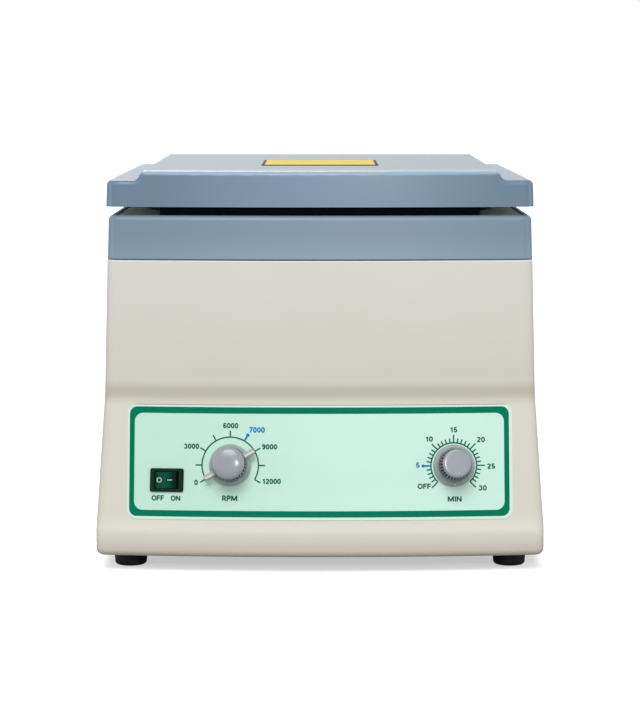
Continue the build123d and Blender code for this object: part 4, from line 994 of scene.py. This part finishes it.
# Painted light and shade: darker at the ends and on the roof, a highlight on the front edge.
lid_shaded_tone = lid_blue.mix(lid_end_shade * 0.8 + lid_clouds * 0.2, paint(121, 146, 170), paint(106, 129, 150))
edge_highlight_tone = lid_blue.mix(lid_level.rise(*edge_highlight_level), lid_shaded_tone, paint(160, 182, 200))
roof_shade_tone = lid_blue.mix(lid_level.rise(*roof_shade_level), edge_highlight_tone, paint(106, 125, 141))
lid_blue.set({"Base Color": roof_shade_tone, "Specular IOR Level": 0.5})
dress(lid_blue, "lid_shell")

# Closing strip: a soft black rubber strip with open pores. It stands on the deck behind the
# collar's front lip and shuts the gap under the lid.
strip_black = Finish("soft black strip", {"Specular IOR Level": 0.1})
strip_pores = strip_black.grain(0.6 * mm)
strip_black.set({
    "Base Color": strip_black.mix(strip_pores, paint(6, 6, 6), paint(14, 14, 14)),
    "Roughness": 0.85 + 0.1 * strip_pores,
    "Normal": strip_black.bump(strip_pores, 0.1 * mm, strength=0.5),
})
dress(strip_black, "closing_strip")

# Bowl and boot: a spun stainless bowl with a flange, its spinning marks round the drive
# axis, and a rubber boot that closes its port round the motor's boss.
spun = turned(
    "spun stainless", paint(208, 210, 209), paint(182, 185, 185),
    pitch=0.5 * mm, rough=0.2, depth=0.02 * mm,
)
dress(spun, "chamber_bowl")
dress(rubber, "bowl_boot")

# Deck plate: steel sheet let into the collar, enamelled in the housing's off-white, with
# four countersunk stainless screws. The enamel has a faint orange peel.
deck_enamel = Finish("off-white deck enamel", {"Specular IOR Level": 0.5})
deck_peel = deck_enamel.grain(1.8 * mm, detail=1.0)
deck_haze = deck_enamel.grain(35 * mm)
deck_enamel.set({
    "Base Color": deck_enamel.mix(deck_haze, paint(246, 243, 234), paint(236, 233, 222)),
    "Roughness": 0.34 + 0.1 * deck_haze,
    "Normal": deck_enamel.bump(deck_peel, 0.02 * mm, strength=0.4),
})
dress(deck_enamel, "deck_plate")
dress(stainless, "deck_screws")
soften(0.15 * mm, "deck_plate")

# Rotor: hub, slotted plate and cover turned from aluminium and clear anodised, a rubber
# gasket inside the rim for the tubes' ends, and a knurled nut on the stud.
anodised = turned(
    "turned aluminium", paint(214, 216, 219), paint(188, 191, 196),
    pitch=0.35 * mm, rough=0.26, depth=0.01 * mm,
)
dress(anodised, "rotor_hub", "rotor_plate", "rotor_cover", "rotor_nut")
dress(rubber, "rotor_gasket")

# Lid liner, screws and seal: a pale grey sheet screwed into the lid, with a round rubber
# seal that meets the deck round the bowl.
liner_pale, liner_clouds = moulded("pale grey liner", 0.34)
liner_pale.set({"Base Color": liner_pale.mix(liner_clouds, paint(214, 216, 214), paint(204, 207, 205))})
dress(liner_pale, "lid_liner")
soften(0.3 * mm, "lid_liner")
dress(stainless, "lid_screws")
dress(rubber, "lid_seal")

# Plate on the lid: thin sheet in matt yellow enamel, stuck on the lid's platform, with a
# black line printed round its edge.
side_line = 1.9 * mm
end_line = 0.8 * mm
plate_low, plate_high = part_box("lid_plate")
plate_middle_y = (plate_low.y + plate_high.y) / 2
yellow = Finish("yellow enamel plate", {"Specular IOR Level": 0.1})
near_side = abs(yellow.along("X")) > plate_high.x - side_line
near_end = abs(yellow.along("Y") - plate_middle_y) > (plate_high.y - plate_low.y) / 2 - end_line
enamel_cloud = yellow.grain(8 * mm, detail=3.0)
yellow_tone = yellow.mix(enamel_cloud, paint(238, 212, 72), paint(232, 204, 64))
yellow.set({
    "Base Color": yellow.mix(near_side.larger(near_end), yellow_tone, paint(34, 34, 30)),
    "Roughness": 0.5 + 0.14 * enamel_cloud,
    "Normal": yellow.bump(enamel_cloud, 0.02 * mm, strength=0.3),
})
dress(yellow, "lid_plate")

# Hinges: two pairs of stainless leaves rolled round their pins, screwed to the backs of the
# collar and the lid.
dress(stainless, "hinge_body_leaves", "hinge_lid_leaves", "hinge_pins", "lid_hinge_screws")
soften(0.2 * mm, "hinge_body_leaves", "hinge_lid_leaves")

# Table: a pale seamless floor that carries the machine's shadow. The camera sees it as
# white where it is lit, and the machine itself is lit as by a plain grey table.
floor_half = 6.0
floor_form = bmesh.new()
bmesh.ops.create_grid(floor_form, x_segments=1, y_segments=1, size=floor_half)
floor_mesh = bpy.data.meshes.new("floor")
floor_form.to_mesh(floor_mesh)
floor_form.free()
floor_finish = Finish("pale floor", {
    "Base Color": paint(172, 172, 172), "Specular IOR Level": 0.0, "Roughness": 1.0,
})
chalk = floor_finish.node("ShaderNodeBsdfDiffuse", inputs={"Color": paint(250, 250, 250)})
glow = floor_finish.node("ShaderNodeEmission", inputs={"Strength": 0.5})
shown_floor = floor_finish.node("ShaderNodeMixShader", inputs={
    0: floor_finish.node("ShaderNodeLightPath", out="Is Camera Ray"),
    1: Wire(floor_finish, floor_finish.shader.outputs[0]),
    2: floor_finish.node("ShaderNodeAddShader", inputs={0: chalk, 1: glow}),
})
floor_finish.plug(floor_finish.tree.nodes["Material Output"].inputs["Surface"], shown_floor)
floor_mesh.materials.append(floor_finish.material)
floor = bpy.data.objects.new("floor", floor_mesh)
bpy.context.scene.collection.objects.link(floor)

# Room: soft light from all round, seen as white by the camera and in what shines or is
# clear, with broad light from above the front and the back, a small lamp near the camera
# and one at each side.
scene = bpy.context.scene
scene.world = bpy.data.worlds.new("soft room")
scene.world.use_nodes = True
room = Nodes(scene.world.node_tree)
room.tree.nodes.clear()
camera_ray, glossy_ray, clear_ray = [
    room.node("ShaderNodeLightPath", out=kind)
    for kind in ("Is Camera Ray", "Is Glossy Ray", "Is Transmission Ray")
]
room_light, room_white = [
    room.node("ShaderNodeBackground", inputs={"Color": paint(255, 255, 255), "Strength": strength})
    for strength in (0.34, 1.0)
]
room_shown = room.node("ShaderNodeMixShader", inputs={
    0: camera_ray.larger(glossy_ray).larger(clear_ray), 1: room_light, 2: room_white,
})
room.plug(room.tree.nodes.new("ShaderNodeOutputWorld").inputs["Surface"], room_shown)


def hang(name, light):
    """Light of the room, not yet turned to its aim."""
    item = bpy.data.objects.new(name, light)
    scene.collection.objects.link(item)
    return item


def lamp(name, place, aim, size, power):
    """Broad square lamp that points at a place."""
    light = bpy.data.lights.new(name, "AREA")
    light.size = size
    light.energy = power
    item = hang(name, light)
    item.location = place
    item.rotation_euler = (Vector(aim) - Vector(place)).to_track_quat("-Z", "Y").to_euler()


def daylight(name, strength, spread, tilt, swing):
    """Even light of soft edge, tilted from straight above and swung about the upright."""
    light = bpy.data.lights.new(name, "SUN")
    light.energy = strength
    light.angle = radians(spread)
    hang(name, light).rotation_euler = (radians(tilt), 0, radians(swing))


daylight("key_light", strength=1.6, spread=30, tilt=44, swing=-6)
daylight("back_light", strength=0.88, spread=26, tilt=-50, swing=12)
lamp("fill_lamp", place=(0.137, -1.56, 0.535), aim=(0, 0, 0.12), size=0.08, power=3.7)
lamp("left_lamp", place=(-1.1, -0.3, 0.3), aim=(0, 0, 0.22), size=0.3, power=1.0)
lamp("right_lamp", place=(1.1, -0.3, 0.3), aim=(0, 0, 0.22), size=0.3, power=1.0)

# Camera: about 1.6 m away at a little over the lid's height, and tipped down at the front
# until the machine sits in the picture as it does in the photograph.
focal_pixels = 2400
picture_height = 727
camera_place = (0, -1.6252, 0.3055)
camera_tip = 6.737
camera = bpy.data.cameras.new("camera")
camera.lens = focal_pixels * camera.sensor_width / picture_height
camera.clip_end = 50
view = bpy.data.objects.new("camera", camera)
view.location = camera_place
view.rotation_euler = (radians(90 - camera_tip), 0, 0)
scene.collection.objects.link(view)
scene.camera = view
scene.view_settings.view_transform = "Standard"
